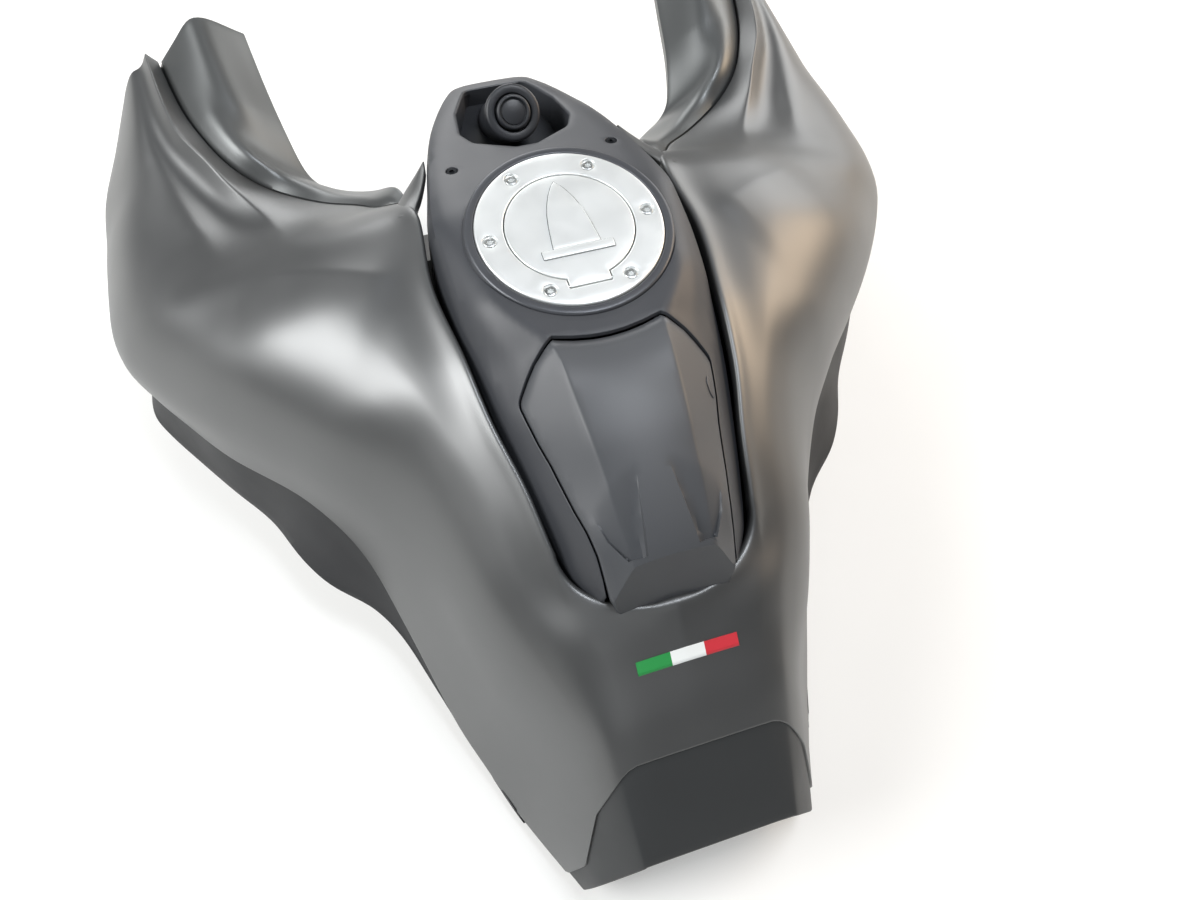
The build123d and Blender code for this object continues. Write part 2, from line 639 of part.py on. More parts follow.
def fuel_outlet():
    """Outlet pipe under the pump plate, with a barb at its end."""
    base_z = vessel_floor_z - pump_plate - pump_boss
    z = base_z - outlet_radius - 4
    pipe = Pos(pump_x - pipe_length / 2, pump_y, z) * Rot(0, 90, 0) * Cylinder(outlet_radius, pipe_length)
    bore = Pos(pump_x - pipe_length / 2, pump_y, z) * Rot(0, 90, 0) * Cylinder(outlet_bore, pipe_length)
    foot = block(pump_x - 6, pump_x + 8, pump_y - 8, pump_y + 8, z - outlet_radius - 1, base_z)
    return pipe + foot - bore


def pump_connector():
    """Electrical plug socket on the pump plate."""
    z = vessel_floor_z - pump_plate
    socket = block(pump_x - 16, pump_x + 6, pump_y + 24, pump_y + 40, z - 16, z)
    return socket - block(pump_x - 14, pump_x + 4, pump_y + 26, pump_y + 38, z - 16, z - 4)


def drain_pipes():
    """Two overflow pipes under the right lobe of the vessel."""
    pipes = Part()
    for y in (-96, -112):
        pipes += disc(4.5, vessel_floor_z - 22, vessel_floor_z, -60, y)
        pipes -= disc(2.8, vessel_floor_z - 23, vessel_floor_z - 1, -60, y)
    return pipes


def rear_bracket():
    """Steel bracket behind the vessel, with a round hole for the bush."""
    back = vessel_sections[0][0]
    low, high = rear_bolt_z - bracket_thick / 2, rear_bolt_z + bracket_thick / 2
    half = bracket_width / 2
    outline = [(rear_bolt_x, half), (back - 14, bracket_foot_y), (back, bracket_foot_y)]
    outline += [(x, -y) for x, y in reversed(outline)]
    face = make_face(Polyline(*[Vector(x, y, low) for x, y in outline], close=True).edges())
    plate = extrude(face, amount=bracket_thick, dir=(0, 0, 1)) + disc(half, low, high, rear_bolt_x)
    inner_y = tunnel_half_width + 4
    plate += both_sides(block(back - 4, back, inner_y, bracket_foot_y, low - 18, high + 18))
    return plate - disc(bush_radius, low, high, rear_bolt_x)


def bush(length=bush_length):
    """Rubber bush about Z with a groove for a plate."""
    body = disc(bush_radius + 4, -length / 2, length / 2)
    return body - disc(sleeve_radius, -length / 2, length / 2)


def sleeve():
    """Steel sleeve about Z."""
    return disc(sleeve_radius, -sleeve_length / 2, sleeve_length / 2) - disc(bolt_bore, -sleeve_length, sleeve_length)


def rear_bush():
    """Bush in the rear bracket."""
    return Pos(rear_bolt_x, 0, rear_bolt_z) * bush() - rear_bracket()


def rear_sleeve():
    """Sleeve in the rear bush."""
    return Pos(rear_bolt_x, 0, rear_bolt_z) * sleeve()


def front_place():
    """Place of the left front mounting, with its bolt upright."""
    return Pos(front_bolt_x, front_ear_y, front_bolt_z)


def front_bracket():
    """Left ear in front of the vessel: a flat plate with a round hole on an upright foot."""
    low, high = front_bolt_z - ear_thick / 2, front_bolt_z + ear_thick / 2
    ear = disc(ear_radius, low, high, front_bolt_x, front_ear_y)
    ear += block(vessel_front_x, front_bolt_x, front_ear_y - 14, front_ear_y + 14, low, high)
    foot = block(vessel_front_x, vessel_front_x + 4, front_ear_y - 10, front_ear_y + 24, low - 24, high + 24)
    return ear + foot - disc(bush_radius, low, high, front_bolt_x, front_ear_y)


def front_bush():
    """Bush in the left ear."""
    return front_place() * bush() - front_bracket()


def front_sleeve():
    """Sleeve in the left bush."""
    return front_place() * sleeve()


def tank_stripe():
    """Three-colour strip on the cover behind the lid."""
    skin = cover_solid() & block(-284.5, -275.5, -36, 36, low_z, high_z)
    return Pos(0, 0, 0.6) * skin - cover_solid(deeper=20, longer=8)


singles = {
    "tank_vessel": tank_vessel, "tank_cover": tank_cover, "spine_panel": spine_panel,
    "storage_tray": storage_tray, "rear_cover": rear_cover,
    "filler_neck": filler_neck, "filler_bezel": lambda: turned(bezel_profile()), "cap_ring": cap_ring,
    "flap_pin": flap_pin, "filler_flap": filler_flap, "key_cover": key_cover, "filler_plug": filler_plug,
    "switch_housing": switch_housing, "switch_ring": switch_ring, "switch_knob": switch_knob,
    "storage_lid": storage_lid, "lid_latch": lid_latch, "lid_button": lid_button,
    "pump_flange": pump_flange, "pump_ring": pump_ring, "fuel_outlet": fuel_outlet,
    "pump_connector": pump_connector, "drain_pipes": drain_pipes,
    "rear_bracket": rear_bracket, "rear_bush": rear_bush, "rear_sleeve": rear_sleeve,
    "tank_stripe": tank_stripe,
}
joined_pairs = {"lid_arms": lid_arm, "lid_pins": lid_pin}
split_pairs = {
    "front_trim": front_inner_trim, "side_trim": side_trim, "front_bracket": front_bracket,
    "front_bush": front_bush, "front_sleeve": front_sleeve,
}

pieces = {name: make() for name, make in singles.items()}
for name, make in joined_pairs.items():
    pieces[name] = both_sides(make())
for name, make in split_pairs.items():
    left = make()
    pieces[name + "_left"] = left
    pieces[name + "_right"] = mirror(left, about=Plane.XZ)

os.makedirs("parts", exist_ok=True)
for name, piece in pieces.items():
    export_step(Pos(-rear_bolt_x, 0, -rear_bolt_z) * piece, os.path.join("parts", name + ".step"))
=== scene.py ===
import json
import math
import bmesh
import bpy
import numpy as np
from mathutils import Matrix, Vector
from mathutils.geometry import delaunay_2d_cdt


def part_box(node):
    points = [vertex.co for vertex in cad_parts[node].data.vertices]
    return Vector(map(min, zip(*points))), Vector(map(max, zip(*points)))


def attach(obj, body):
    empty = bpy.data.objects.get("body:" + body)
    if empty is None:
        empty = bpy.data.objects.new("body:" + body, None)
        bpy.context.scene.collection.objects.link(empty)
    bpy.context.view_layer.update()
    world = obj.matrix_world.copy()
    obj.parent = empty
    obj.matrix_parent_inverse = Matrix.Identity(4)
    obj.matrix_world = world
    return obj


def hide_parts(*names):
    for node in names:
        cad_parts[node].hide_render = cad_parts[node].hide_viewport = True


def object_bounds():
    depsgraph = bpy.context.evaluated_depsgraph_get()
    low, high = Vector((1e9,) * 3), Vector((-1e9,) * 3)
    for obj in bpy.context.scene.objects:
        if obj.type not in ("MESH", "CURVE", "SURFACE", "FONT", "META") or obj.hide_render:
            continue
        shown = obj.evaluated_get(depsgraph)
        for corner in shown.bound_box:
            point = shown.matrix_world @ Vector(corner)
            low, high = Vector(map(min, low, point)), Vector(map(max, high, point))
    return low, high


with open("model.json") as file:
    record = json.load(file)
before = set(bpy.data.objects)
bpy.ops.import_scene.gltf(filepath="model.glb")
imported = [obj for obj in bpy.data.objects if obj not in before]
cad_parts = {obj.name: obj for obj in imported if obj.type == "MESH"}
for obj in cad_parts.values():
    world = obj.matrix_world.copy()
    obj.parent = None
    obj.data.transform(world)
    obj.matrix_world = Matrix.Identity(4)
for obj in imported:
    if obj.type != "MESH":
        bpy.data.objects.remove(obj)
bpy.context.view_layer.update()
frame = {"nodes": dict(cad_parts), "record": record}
nodes = frame["nodes"]
scene = bpy.context.scene

# Tables are in millimetres from the centre of the filler cap's top face: X forwards, Y left, Z up.
capLow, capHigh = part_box("cap_ring")
capCentre = np.array([(capLow.x + capHigh.x) / 2, (capLow.y + capHigh.y) / 2, capHigh.z])


def placed(points):
    return np.asarray(points, float) / 1000 + capCentre


def report(stage):
    print("scene:", stage, flush=True)


def linked(name, mesh):
    piece = bpy.data.objects.new(name, mesh)
    scene.collection.objects.link(piece)
    return piece


# One mesh piece from points in millimetres, smooth except over the sharp angle.
def meshPiece(name, points, faces, materials, sharp=40, faceMaterials=None, outwards=False):
    mesh = bpy.data.meshes.new(name)
    mesh.from_pydata([tuple(p) for p in placed(points)], [], [tuple(int(i) for i in f) for f in faces])
    mesh.validate()
    mesh.polygons.foreach_set("use_smooth", [True] * len(mesh.polygons))
    mesh.set_sharp_from_angle(angle=math.radians(sharp))
    for material in materials if isinstance(materials, list) else [materials]:
        mesh.materials.append(material)
    if faceMaterials is not None:
        mesh.polygons.foreach_set("material_index", faceMaterials)
    if outwards:
        work = bmesh.new()
        work.from_mesh(mesh)
        bmesh.ops.recalc_face_normals(work, faces=work.faces)
        work.to_mesh(mesh)
        work.free()
    return linked(name, mesh)


def kept(piece, body, slot, *replaced):
    if replaced:
        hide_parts(*replaced)
    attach(piece, body)


# A piece in its slot's finish, or another look, on a body; a skin also gets a wall.
def shown(name, part, slot, *replaced, body="tank_unit", look=None, wall=0, **ways):
    piece = meshPiece(name, *part, look or finishes[slot], **ways)
    if wall:
        skin = piece.modifiers.new("wall", "SOLIDIFY")
        skin.thickness = wall / 1000
        skin.offset = -1
    kept(piece, body, slot, *replaced)


# Quads of a grid of rows by columns; a closed grid joins its last row to its first.
def gridFaces(rows, columns, closedRows=False):
    faces = []
    for r in range(rows if closedRows else rows - 1):
        a, b = r * columns, (r + 1) % rows * columns
        faces += [(a + c, b + c, b + c + 1, a + c + 1) for c in range(columns - 1)]
    return faces


def gridPart(grid):
    return grid.reshape(-1, 3), gridFaces(*grid.shape[:2])


# A piece from the left side's grid and its mirror image on the right.
def shownPair(name, grid, slot, node, sharp):
    for side, word in ((1, "left"), (-1, "right")):
        replaced = [node + word] if node else []
        shown(name + word, gridPart(grid * (1, side, 1)), slot, *replaced, sharp=sharp, outwards=True)


def joinedParts(parts):
    points, faces, start = [], [], 0
    for p, f in parts:
        points.append(np.asarray(p, float))
        faces += [tuple(i + start for i in face) for face in f]
        start += len(p)
    return np.concatenate(points), faces


def fullTurn(count):
    return np.linspace(0, 2 * math.pi, count, endpoint=False)


# Solid of revolution about Z from an (r, z) outline; a negative turn of the outline faces it outwards.
def lathePart(profile, segments=96, centre=(0, 0, 0)):
    turn = fullTurn(segments)
    profile = np.asarray(profile, float)
    r, z = profile[:, 0], profile[:, 1]
    points = np.stack([np.outer(np.cos(turn), r), np.outer(np.sin(turn), r), np.tile(z, (segments, 1))], -1)
    return points.reshape(-1, 3) + np.array(centre), gridFaces(segments, len(profile), closedRows=True)


def turnedBy(part, matrix):
    points, faces = part
    return np.asarray(points) @ np.array(matrix.to_3x3()).T + np.array(matrix.translation), faces


# Shape-keeping cubic through the rows of a table, then evened out along its length.
def flowing(stations, values, step=2.0, even=8.0):
    x, y = np.asarray(stations, float), np.asarray(values, float)
    gap, slope = np.diff(x), np.diff(y, axis=0) / np.diff(x)[:, None]
    bend = np.empty_like(y)
    bend[0], bend[-1] = slope[0], slope[-1]
    same = slope[:-1] * slope[1:] > 0
    before, after = np.where(same, slope[:-1], 1), np.where(same, slope[1:], 1)
    w1, w2 = (2 * gap[1:] + gap[:-1])[:, None], (gap[1:] + 2 * gap[:-1])[:, None]
    bend[1:-1] = np.where(same, (w1 + w2) / (w1 / before + w2 / after), 0)
    at = np.arange(x[0], x[-1] + step / 2, step)
    k = np.clip(np.searchsorted(x, at, side="right") - 1, 0, len(x) - 2)
    t, h = ((at - x[k]) / gap[k])[:, None], gap[k][:, None]
    rows = ((2 * t**3 - 3 * t**2 + 1) * y[k] + (t**3 - 2 * t**2 + t) * h * bend[k]
            + (3 * t**2 - 2 * t**3) * y[k + 1] + (t**3 - t**2) * h * bend[k + 1])
    if even:
        reach = int(3 * even / step)
        weight = np.exp(-0.5 * (np.arange(-reach, reach + 1) * step / even) ** 2)
        weight /= weight.sum()
        first = 2 * rows[0] - rows[reach:0:-1]
        last = 2 * rows[-1] - rows[-2:-reach - 2:-1]
        long = np.concatenate([first, rows, last])
        rows = np.stack([np.convolve(long[:, c], weight, "valid") for c in range(y.shape[1])], 1)
    return at, rows


# Flow through a table whose rows hold x, the middle's height and corners (y, z).
def tableFlow(rows, even, *first):
    values = [[*first, row[1]] + [v for corner in row[2:] for v in corner] for row in rows]
    return flowing([row[0] for row in rows], values, even=even)


def looked(flow, x):
    at, rows = flow
    return np.stack([np.interp(x, at, rows[:, c]) for c in range(rows.shape[1])], -1)


# Point at u along a line of corners that are rounded by a share of the runs beside them.
def along(corners, soft, u):
    last = corners.shape[1] - 1
    i = np.clip(np.floor(u).astype(int), 0, last - 1)
    t = u - i
    n = np.arange(len(u))
    here, there = corners[n, i], corners[n, i + 1]
    point = here + (there - here) * t[:, None]
    for side in (0, 1):
        k = i + side
        share = soft[n, k]
        near = (t < share if side == 0 else t > 1 - share) & (k > 0) & (k < last) & (share > 0)
        kk, nn = k[near], n[near]
        f = soft[nn, kk][:, None]
        s = ((t[near] + f[:, 0]) if side == 0 else (t[near] - 1 + f[:, 0])) / (2 * f[:, 0])
        s = s[:, None]
        mid = corners[nn, kk]
        a = mid - f * (mid - corners[nn, kk - 1])
        b = mid + f * (corners[nn, kk + 1] - mid)
        point[near] = (1 - s) ** 2 * a + 2 * s * (1 - s) * mid + s**2 * b
    return point


def smoothStep(x, low, high):
    t = np.clip((x - low) / (high - low), 0, 1)
    return t * t * (3 - 2 * t)


# A bend of a line whose slope changes at zero, rounded over a reach on both sides.
def ramp(t, reach):
    return np.where(t < -reach, 0, np.where(t > reach, t, (t + reach) ** 2 / (4 * reach)))


# Closed line through plan corners (x, y) or (x, y, radius), rounded and split into even steps.
def closedLine(corners, step):
    pts = []
    n = len(corners)
    for i in range(n):
        before, here, after = (np.array(corners[(i + k) % n][:2], float) for k in (-1, 0, 1))
        radius = corners[i][2] if len(corners[i]) > 2 else 0
        back, ahead = before - here, after - here
        lb, la = np.linalg.norm(back), np.linalg.norm(ahead)
        back, ahead = back / lb, ahead / la
        angle = math.acos(np.clip(back @ ahead, -1, 1))
        cut = min(radius / max(math.tan(angle / 2), 1e-6), 0.48 * lb, 0.48 * la)
        if cut < 0.05 or math.pi - angle < 0.01:
            pts.append(here[None])
            continue
        count = max(2, int(math.ceil((math.pi - angle) / 0.22)))
        s = np.linspace(0, 1, count + 1)[:, None]
        a, b = here + back * cut, here + ahead * cut
        pts.append((1 - s) ** 2 * a + 2 * s * (1 - s) * here + s**2 * b)
    return evenLine(np.concatenate(pts), step, closed=True)


def evenLine(points, step, closed=False):
    points = np.asarray(points, float)
    path = np.concatenate([points, points[:1]]) if closed else points
    out = []
    for a, b in zip(path, path[1:]):
        count = max(1, int(round(np.linalg.norm(b - a) / step)))
        out.append(a + (b - a) * (np.arange(count) / count)[:, None])
    if not closed:
        out.append(path[-1:])
    line = np.concatenate(out)
    keep = np.ones(len(line), bool)
    keep[1:] = np.linalg.norm(np.diff(line, axis=0), axis=1) > 0.02
    return line[keep]


def circleLine(x, y, radius, count):
    turn = fullTurn(count)
    return np.stack([x + radius * np.cos(turn), y + radius * np.sin(turn)], 1)


def signedArea(loop):
    after = np.roll(loop, -1, axis=0)
    return 0.5 * np.sum(loop[:, 0] * after[:, 1] - after[:, 0] * loop[:, 1])


def leftNormals(loop):
    run = np.roll(loop, -1, axis=0) - loop
    run /= np.linalg.norm(run, axis=1)[:, None]
    before = np.roll(run, 1, axis=0)
    n1, n2 = np.stack([-run[:, 1], run[:, 0]], 1), np.stack([-before[:, 1], before[:, 0]], 1)
    both = n1 + n2
    return 2 * both / np.maximum(np.sum(both * both, axis=1), 0.6)[:, None]


def insideLoop(points, loop):
    inside = np.zeros(len(points), bool)
    after = np.roll(loop, -1, axis=0)
    for (x0, y0), (x1, y1) in zip(loop, after):
        if y0 == y1:
            continue
        cross = (y0 > points[:, 1]) != (y1 > points[:, 1])
        inside ^= cross & (points[:, 0] < (x1 - x0) * (points[:, 1] - y0) / (y1 - y0) + x0)
    return inside


def distanceTo(points, line):
    best = np.full(len(points), 1e9)
    for a, b in zip(line, line[1:]):
        run = b - a
        t = np.clip(((points - a) @ run) / max(run @ run, 1e-9), 0, 1)
        best = np.minimum(best, np.linalg.norm(points - a - t[:, None] * run, axis=1))
    return best


def betweenLoops(points, loops):
    keep = insideLoop(points, loops[0])
    for hole in loops[1:]:
        keep &= ~insideLoop(points, hole)
    return keep


# Patch over an outline: loops turn down by a rounded edge and a wall; creases keep their lines.
def patchPart(outline, height, holes=(), creases=(), spacing=5.0, draft=0.0, *, edges, walls):
    loops = [outline if signedArea(outline) > 0 else outline[::-1]]
    loops += [h if signedArea(h) < 0 else h[::-1] for h in holes]
    inner = [loop + leftNormals(loop) * r for loop, r in zip(loops, edges)]
    points, links = [], []
    for k, line in enumerate([*inner, *creases]):
        start, count = sum(len(p) for p in points), len(line)
        points.append(line)
        runs = count if k < len(inner) else count - 1
        links += [(start + i, start + (i + 1) % count) for i in range(runs)]
    low, high = loops[0].min(0), loops[0].max(0)
    xs, ys = (np.arange(low[k] + spacing / 2, high[k], spacing) for k in (0, 1))
    grid = np.stack(np.meshgrid(xs, ys, indexing="ij"), -1).reshape(-1, 2)
    grid = grid[betweenLoops(grid, inner)]
    for line in [np.concatenate([l, l[:1]]) for l in inner] + list(creases):
        grid = grid[distanceTo(grid, line) > 0.55 * spacing]
    points.append(grid)
    flat = np.concatenate(points)
    found, _, triangles, origins, _, _ = delaunay_2d_cdt([Vector(p) for p in flat], links, [], 0, 1e-5)
    plan = np.array([tuple(p) for p in found])
    place = {}
    for new, olds in enumerate(origins):
        for old in olds:
            place[old] = new
    keep = betweenLoops(plan[np.array(triangles)].mean(1), inner)
    faces = [tuple(t) for t, k in zip(triangles, keep) if k]
    tops = np.column_stack([plan, height(plan)])
    parts, start, begin = [tops], len(tops), 0
    for loop, ring, r, depth in zip(loops, inner, edges, walls):
        normal = leftNormals(loop)
        depth = depth(loop) if callable(depth) else depth
        before = [place[begin + i] for i in range(len(ring))]
        begin += len(ring)
        levels = []
        for phi in (30, 60, 90) if r > 0.3 else (90,):
            s, c = math.sin(math.radians(phi)), math.cos(math.radians(phi))
            at = ring - normal * r * s
            levels.append((at, height(at) - r * (1 - c)))
        levels.append((loop - normal * draft, height(loop) - r - depth))
        for at, z in levels:
            parts.append(np.column_stack([at, z]))
            now = [start + i for i in range(len(ring))]
            start += len(ring)
            for i in range(len(ring)):
                j = (i + 1) % len(ring)
                faces.append((before[i], now[i], now[j], before[j]))
            before = now
    return np.concatenate(parts), faces


def linear(hexColour):
    parts = [int(hexColour[i:i + 2], 16) / 255 for i in (1, 3, 5)]
    return [c / 12.92 if c <= 0.04045 else ((c + 0.055) / 1.055) ** 2.4 for c in parts] + [1.0]


def addNode(tree, kind, inputs=None, **settings):
    node = tree.nodes.new(kind)
    for key, value in settings.items():
        setattr(node, key, value)
    for key, value in (inputs or {}).items():
        if isinstance(value, bpy.types.NodeSocket):
            tree.links.new(value, node.inputs[key])
        else:
            node.inputs[key].default_value = value
    return node


# A finish: two close colours mixed by a wide mottle, a roughness that wanders, and a fine grain with its
# height. Sizes are in millimetres and become noise scales.
def finish(name, colour, second, rough, grain, height=0.02, metal=0.0, wander=0.06, mottle=60, cells=False,
           stretch=(1, 1, 1)):
    material = bpy.data.materials.new(name)
    material.use_nodes = True
    tree = material.node_tree
    shader = tree.nodes["Principled BSDF"]
    place = addNode(tree, "ShaderNodeTexCoord").outputs["Object"]
    wide = addNode(tree, "ShaderNodeTexNoise", {"Vector": place, "Scale": 1000 / mottle, "Detail": 3.0})
    colours = addNode(tree, "ShaderNodeMix", {"Factor": wide.outputs["Fac"], "A": linear(colour),
                                              "B": linear(second)}, data_type="RGBA")
    tree.links.new(colours.outputs["Result"], shader.inputs["Base Color"])
    roughness = addNode(tree, "ShaderNodeMapRange", {"Value": wide.outputs["Fac"], "From Min": 0.3,
                                                     "From Max": 0.7, "To Min": rough - wander,
                                                     "To Max": rough + wander})
    tree.links.new(roughness.outputs["Result"], shader.inputs["Roughness"])
    if grain:
        drawn = addNode(tree, "ShaderNodeMapping", {"Vector": place, "Scale": stretch})
        kind = "ShaderNodeTexVoronoi" if cells else "ShaderNodeTexNoise"
        fine = addNode(tree, kind, {"Vector": drawn.outputs["Vector"], "Scale": 1000 / grain})
        bump = addNode(tree, "ShaderNodeBump", {"Height": fine.outputs[0], "Strength": 1.0,
                                                "Distance": height / 1000})
        tree.links.new(bump.outputs["Normal"], shader.inputs["Normal"])
    shader.inputs["Metallic"].default_value = metal
    return material


finishes = {
    # Matt clear coat over a grey metallic base: a broad soft sheen with a faint flake grain.
    "cover_paint": finish("SatinGreyMetallicPaint", "#666767", "#6c6d6d", 0.42, 0.5, 0.004, metal=0.8,
                          wander=0.02),
    # Moulded plastic of the spine: dark, fine-grained, with a dull sheen.
    "panel_plastic": finish("MouldedDarkPlastic", "#2f3135", "#34363a", 0.48, 0.8, 0.012, wander=0.03,
                            cells=True),
    "lid_plastic": finish("MouldedLidPlastic", "#3f4144", "#444649", 0.46, 0.8, 0.012, wander=0.03,
                          cells=True),
    # Painted inner trims ahead of the tank: darker and smoother than the cover.
    "trim_plastic": finish("SatinDarkTrimPaint", "#5c5e5e", "#626464", 0.42, 0.5, 0.004, metal=0.7,
                           wander=0.02),
    # Unpainted side trims: black, with a coarse moulded grain.
    "side_plastic": finish("GrainedBlackPlastic", "#1d1e20", "#242527", 0.62, 1.4, 0.05, cells=True),
    "rear_plastic": finish("MattBlackCoverPlastic", "#2b2d2e", "#303233", 0.56, 0.9, 0.015),
    # Bead-blasted and anodised aluminium: pale, even and nearly white under the lamp.
    "cap_aluminium": finish("BeadBlastedAluminium", "#e0e3e2", "#e6e9e8", 0.42, 0.35, 0.006, metal=0.72,
                            wander=0.03, mottle=25),
    "bezel_plastic": finish("SatinBezelPlastic", "#45474b", "#4b4d51", 0.38, 0.6, 0.006, metal=0.4),
    "neck_steel": finish("PlatedNeckSteel", "#8d8f90", "#9a9c9d", 0.34, 0.8, metal=1.0),
    "plug_rubber": finish("BlackSealRubber", "#17181a", "#1d1e20", 0.72, 0.7, 0.03),
    "pin_steel": finish("GroundPinSteel", "#a7a9ab", "#b3b5b7", 0.28, 0.3, metal=1.0, stretch=(1, 12, 1)),
    "tray_plastic": finish("TrayPlastic", "#232427", "#28292c", 0.6, 1.1, 0.03, cells=True),
    "switch_plastic": finish("SwitchPlastic", "#202226", "#26282c", 0.42, 0.5, 0.01),
    # Rotomoulded vessel: black, waxy, with a slight orange peel.
    "vessel_plastic": finish("RotomouldedVesselPlastic", "#1a1b1c", "#202122", 0.52, 4.0, 0.12, mottle=90),
    "bracket_steel": finish("PowderCoatedBracketSteel", "#26282a", "#2d2f31", 0.5, 0.7, 0.03, metal=0.2),
    "bush_rubber": finish("BushRubber", "#151617", "#1b1c1d", 0.75, 0.8, 0.03),
    "pump_plastic": finish("PumpNaturalPlastic", "#1f2022", "#29292b", 0.5, 1.2, 0.03),
    "pump_ring_metal": finish("ZincPlatedRing", "#9b9da0", "#aeb0b2", 0.36, 0.8, 0.01, metal=1.0, mottle=18),
}
socketSteel = finish("BlackenedScrewSteel", "#3a3c3f", "#47494c", 0.38, 0.4, metal=1.0)
screwSteel = finish("StainlessScrewSteel", "#b9bcbb", "#c6c9c8", 0.33, 0.3, metal=1.0)
stripeFilms = [finish("Film" + name, colour, colour, 0.34, 0.0, mottle=30)
               for name, colour in (("Green", "#2a8f47"), ("White", "#e9ecea"), ("Red", "#c93640"))]
report("finishes")

# The painted cover.
cover = {
    # x, height on the middle line, then seven corners (y, z) from the inner edge outwards: inner edge,
    # front crease, scoop, ridge, shoulder, widest point, lower edge.
    "rows": [
        (-378, -181, (40, -182), (56, -184), (62, -187), (74, -206), (86, -234), (98, -270), (106, -308)),
        (-332, -139, (41, -140), (57, -144), (66, -149), (78, -168), (91, -203), (108, -254), (127, -312)),
        (-310, -120, (42, -121), (58, -125), (68, -131), (80, -150), (94, -188), (112, -246), (136, -314)),
        (-280, -102, (46, -104), (62, -109), (75, -117), (90, -136), (104, -174), (122, -234), (147, -308)),
        (-250, -80, (56, -86), (69, -92), (83, -101), (103, -123), (118, -160), (134, -222), (158, -302)),
        (-225, -76, (66, -82), (78, -87), (91, -93), (113, -114), (127, -150), (141, -208), (165, -288)),
        (-200, -66, (71, -70), (85, -77), (98, -84), (120, -104), (135, -140), (148, -195), (171, -272)),
        (-160, -54, (77, -54), (93, -61), (104, -69), (126, -90), (143, -121), (161, -176), (181, -250)),
        (-110, -40, (88, -40), (106, -48), (118, -55), (142, -76), (164, -108), (184, -152), (196, -215)),
        (-60, -31, (94, -31), (120, -38), (139, -44), (172, -63), (202, -92), (222, -138), (229, -190)),
        (0, -30, (101, -31), (140, -36), (172, -44), (215, -64), (252, -94), (279, -145), (284, -198)),
        (60, -32, (96, -32), (158, -44), (194, -58), (241, -78), (293, -108), (331, -172), (322, -226)),
        (82, -42, (101, -42), (178, -58), (208, -70), (250, -84), (305, -111), (344, -174), (336, -234)),
        (95, -54, (108, -54), (186, -68), (215, -79), (254, -89), (311, -114), (352, -178), (343, -240)),
        (106, -68, (118, -68), (190, -76), (218, -84), (254, -91), (315, -116), (356, -182), (348, -248)),
        (132, -90, (133, -90), (200, -88), (226, -96), (256, -96), (321, -121), (363, -190), (357, -262)),
        (160, -108, (166, -108), (215, -91), (237, -104), (264, -100), (325, -127), (366, -200), (361, -276)),
        (185, -112, (199, -112), (229, -91), (247, -107), (273, -102), (327, -132), (367, -206), (361, -286)),
        (204, -102, (222, -102), (238, -89), (255, -107), (280, -103), (327, -136), (367, -208), (361, -289)),
        (245, -96, (244, -96), (259, -87), (271, -105), (290, -102), (327, -147), (366, -213), (360, -292)),
        (275, -95, (254, -95), (265, -84), (276, -101), (292, -101), (325, -148), (366, -215), (358, -292)),
        (331, -93, (265, -93), (272, -83), (280, -97), (292, -100), (314, -144), (352, -218), (344, -285)),
    ],
    # x, then how softly each of the five inner corners is rounded, as a share of the runs beside it.
    "softness": [
        (-400, 0.5, 0.5, 0.5, 0.5, 0.5), (60, 0.5, 0.5, 0.5, 0.5, 0.5), (95, 0.3, 0.5, 0.5, 0.5, 0.5),
        (115, 0.1, 0.5, 0.3, 0.5, 0.5), (150, 0.07, 0.5, 0.2, 0.5, 0.5), (190, 0.08, 0.5, 0.36, 0.5, 0.5),
        (230, 0.09, 0.5, 0.5, 0.5, 0.5), (340, 0.09, 0.5, 0.5, 0.5, 0.5),
    ],
    # Behind the second x the inner edge is rounded too, fully so at the first.
    "rimSoft": (-235, -203),
    # The opening's round rear end (middle x, reach in x, reach in y), and the rear edge in plan (y, x).
    "openingRear": (-200.0, 49.5, 71.0),
    "rearPlan": [(0, -332), (50, -332), (58, -334), (80, -350), (104, -400)],
    # Radii and depths of the rolled edges, and between which x the opening's lip changes.
    "lipSide": 2.6, "lipRear": 4.0, "lipDepth": 10.0, "lipBack": (-240, -190), "lipSlim": (80, 110),
    "hem": 2.0, "hemDepth": 7.0, "nose": 2.8, "noseDepth": 6.0, "noseEven": 30,
    # The bead along the opening's edge, how deep, far and wide its valley is, and where both fade.
    "bead": 1.6, "beadReach": 7.0, "valley": (0.35, 2.6, 1.6), "beadFade": (60, 100),
    "rowStep": 3.2, "spokes": 62, "front": 331.0, "back": -378, "seam": -332.0,
    # The fold across the shoulder ahead of the filler: its line in plan, height, and reach ahead and behind.
    "fold": ((16, 128), (57, 202)), "foldHeight": 2.6, "foldAhead": 13.0, "foldBehind": 42.0,
    "foldSoft": 2.2, "foldStart": (-14, 10), "foldEnd": (-12, 26),
}
coverFlow = tableFlow(cover["rows"], 7.0, 0)
softStations = [row[0] for row in cover["softness"]]
softValues = np.array([row[1:] for row in cover["softness"]])


def coverPoints(x, u):
    x, u = np.asarray(x, float), np.asarray(u, float)
    corners = looked(coverFlow, x).reshape(len(x), -1, 2)
    soft = np.zeros(corners.shape[:2])
    for k in range(softValues.shape[1]):
        soft[:, k + 2] = np.interp(x, softStations, softValues[:, k])
    soft[:, 1] = 0.5 * (1 - smoothStep(x, *cover["rimSoft"]))
    return np.column_stack([x, along(corners, soft, u)])


def uAtWidth(x, y):
    trial = np.linspace(0, 1.6, 81)
    return np.array([np.interp(w, coverPoints(np.full(len(trial), s), trial)[:, 1], trial)
                     for s, w in zip(x, y)])


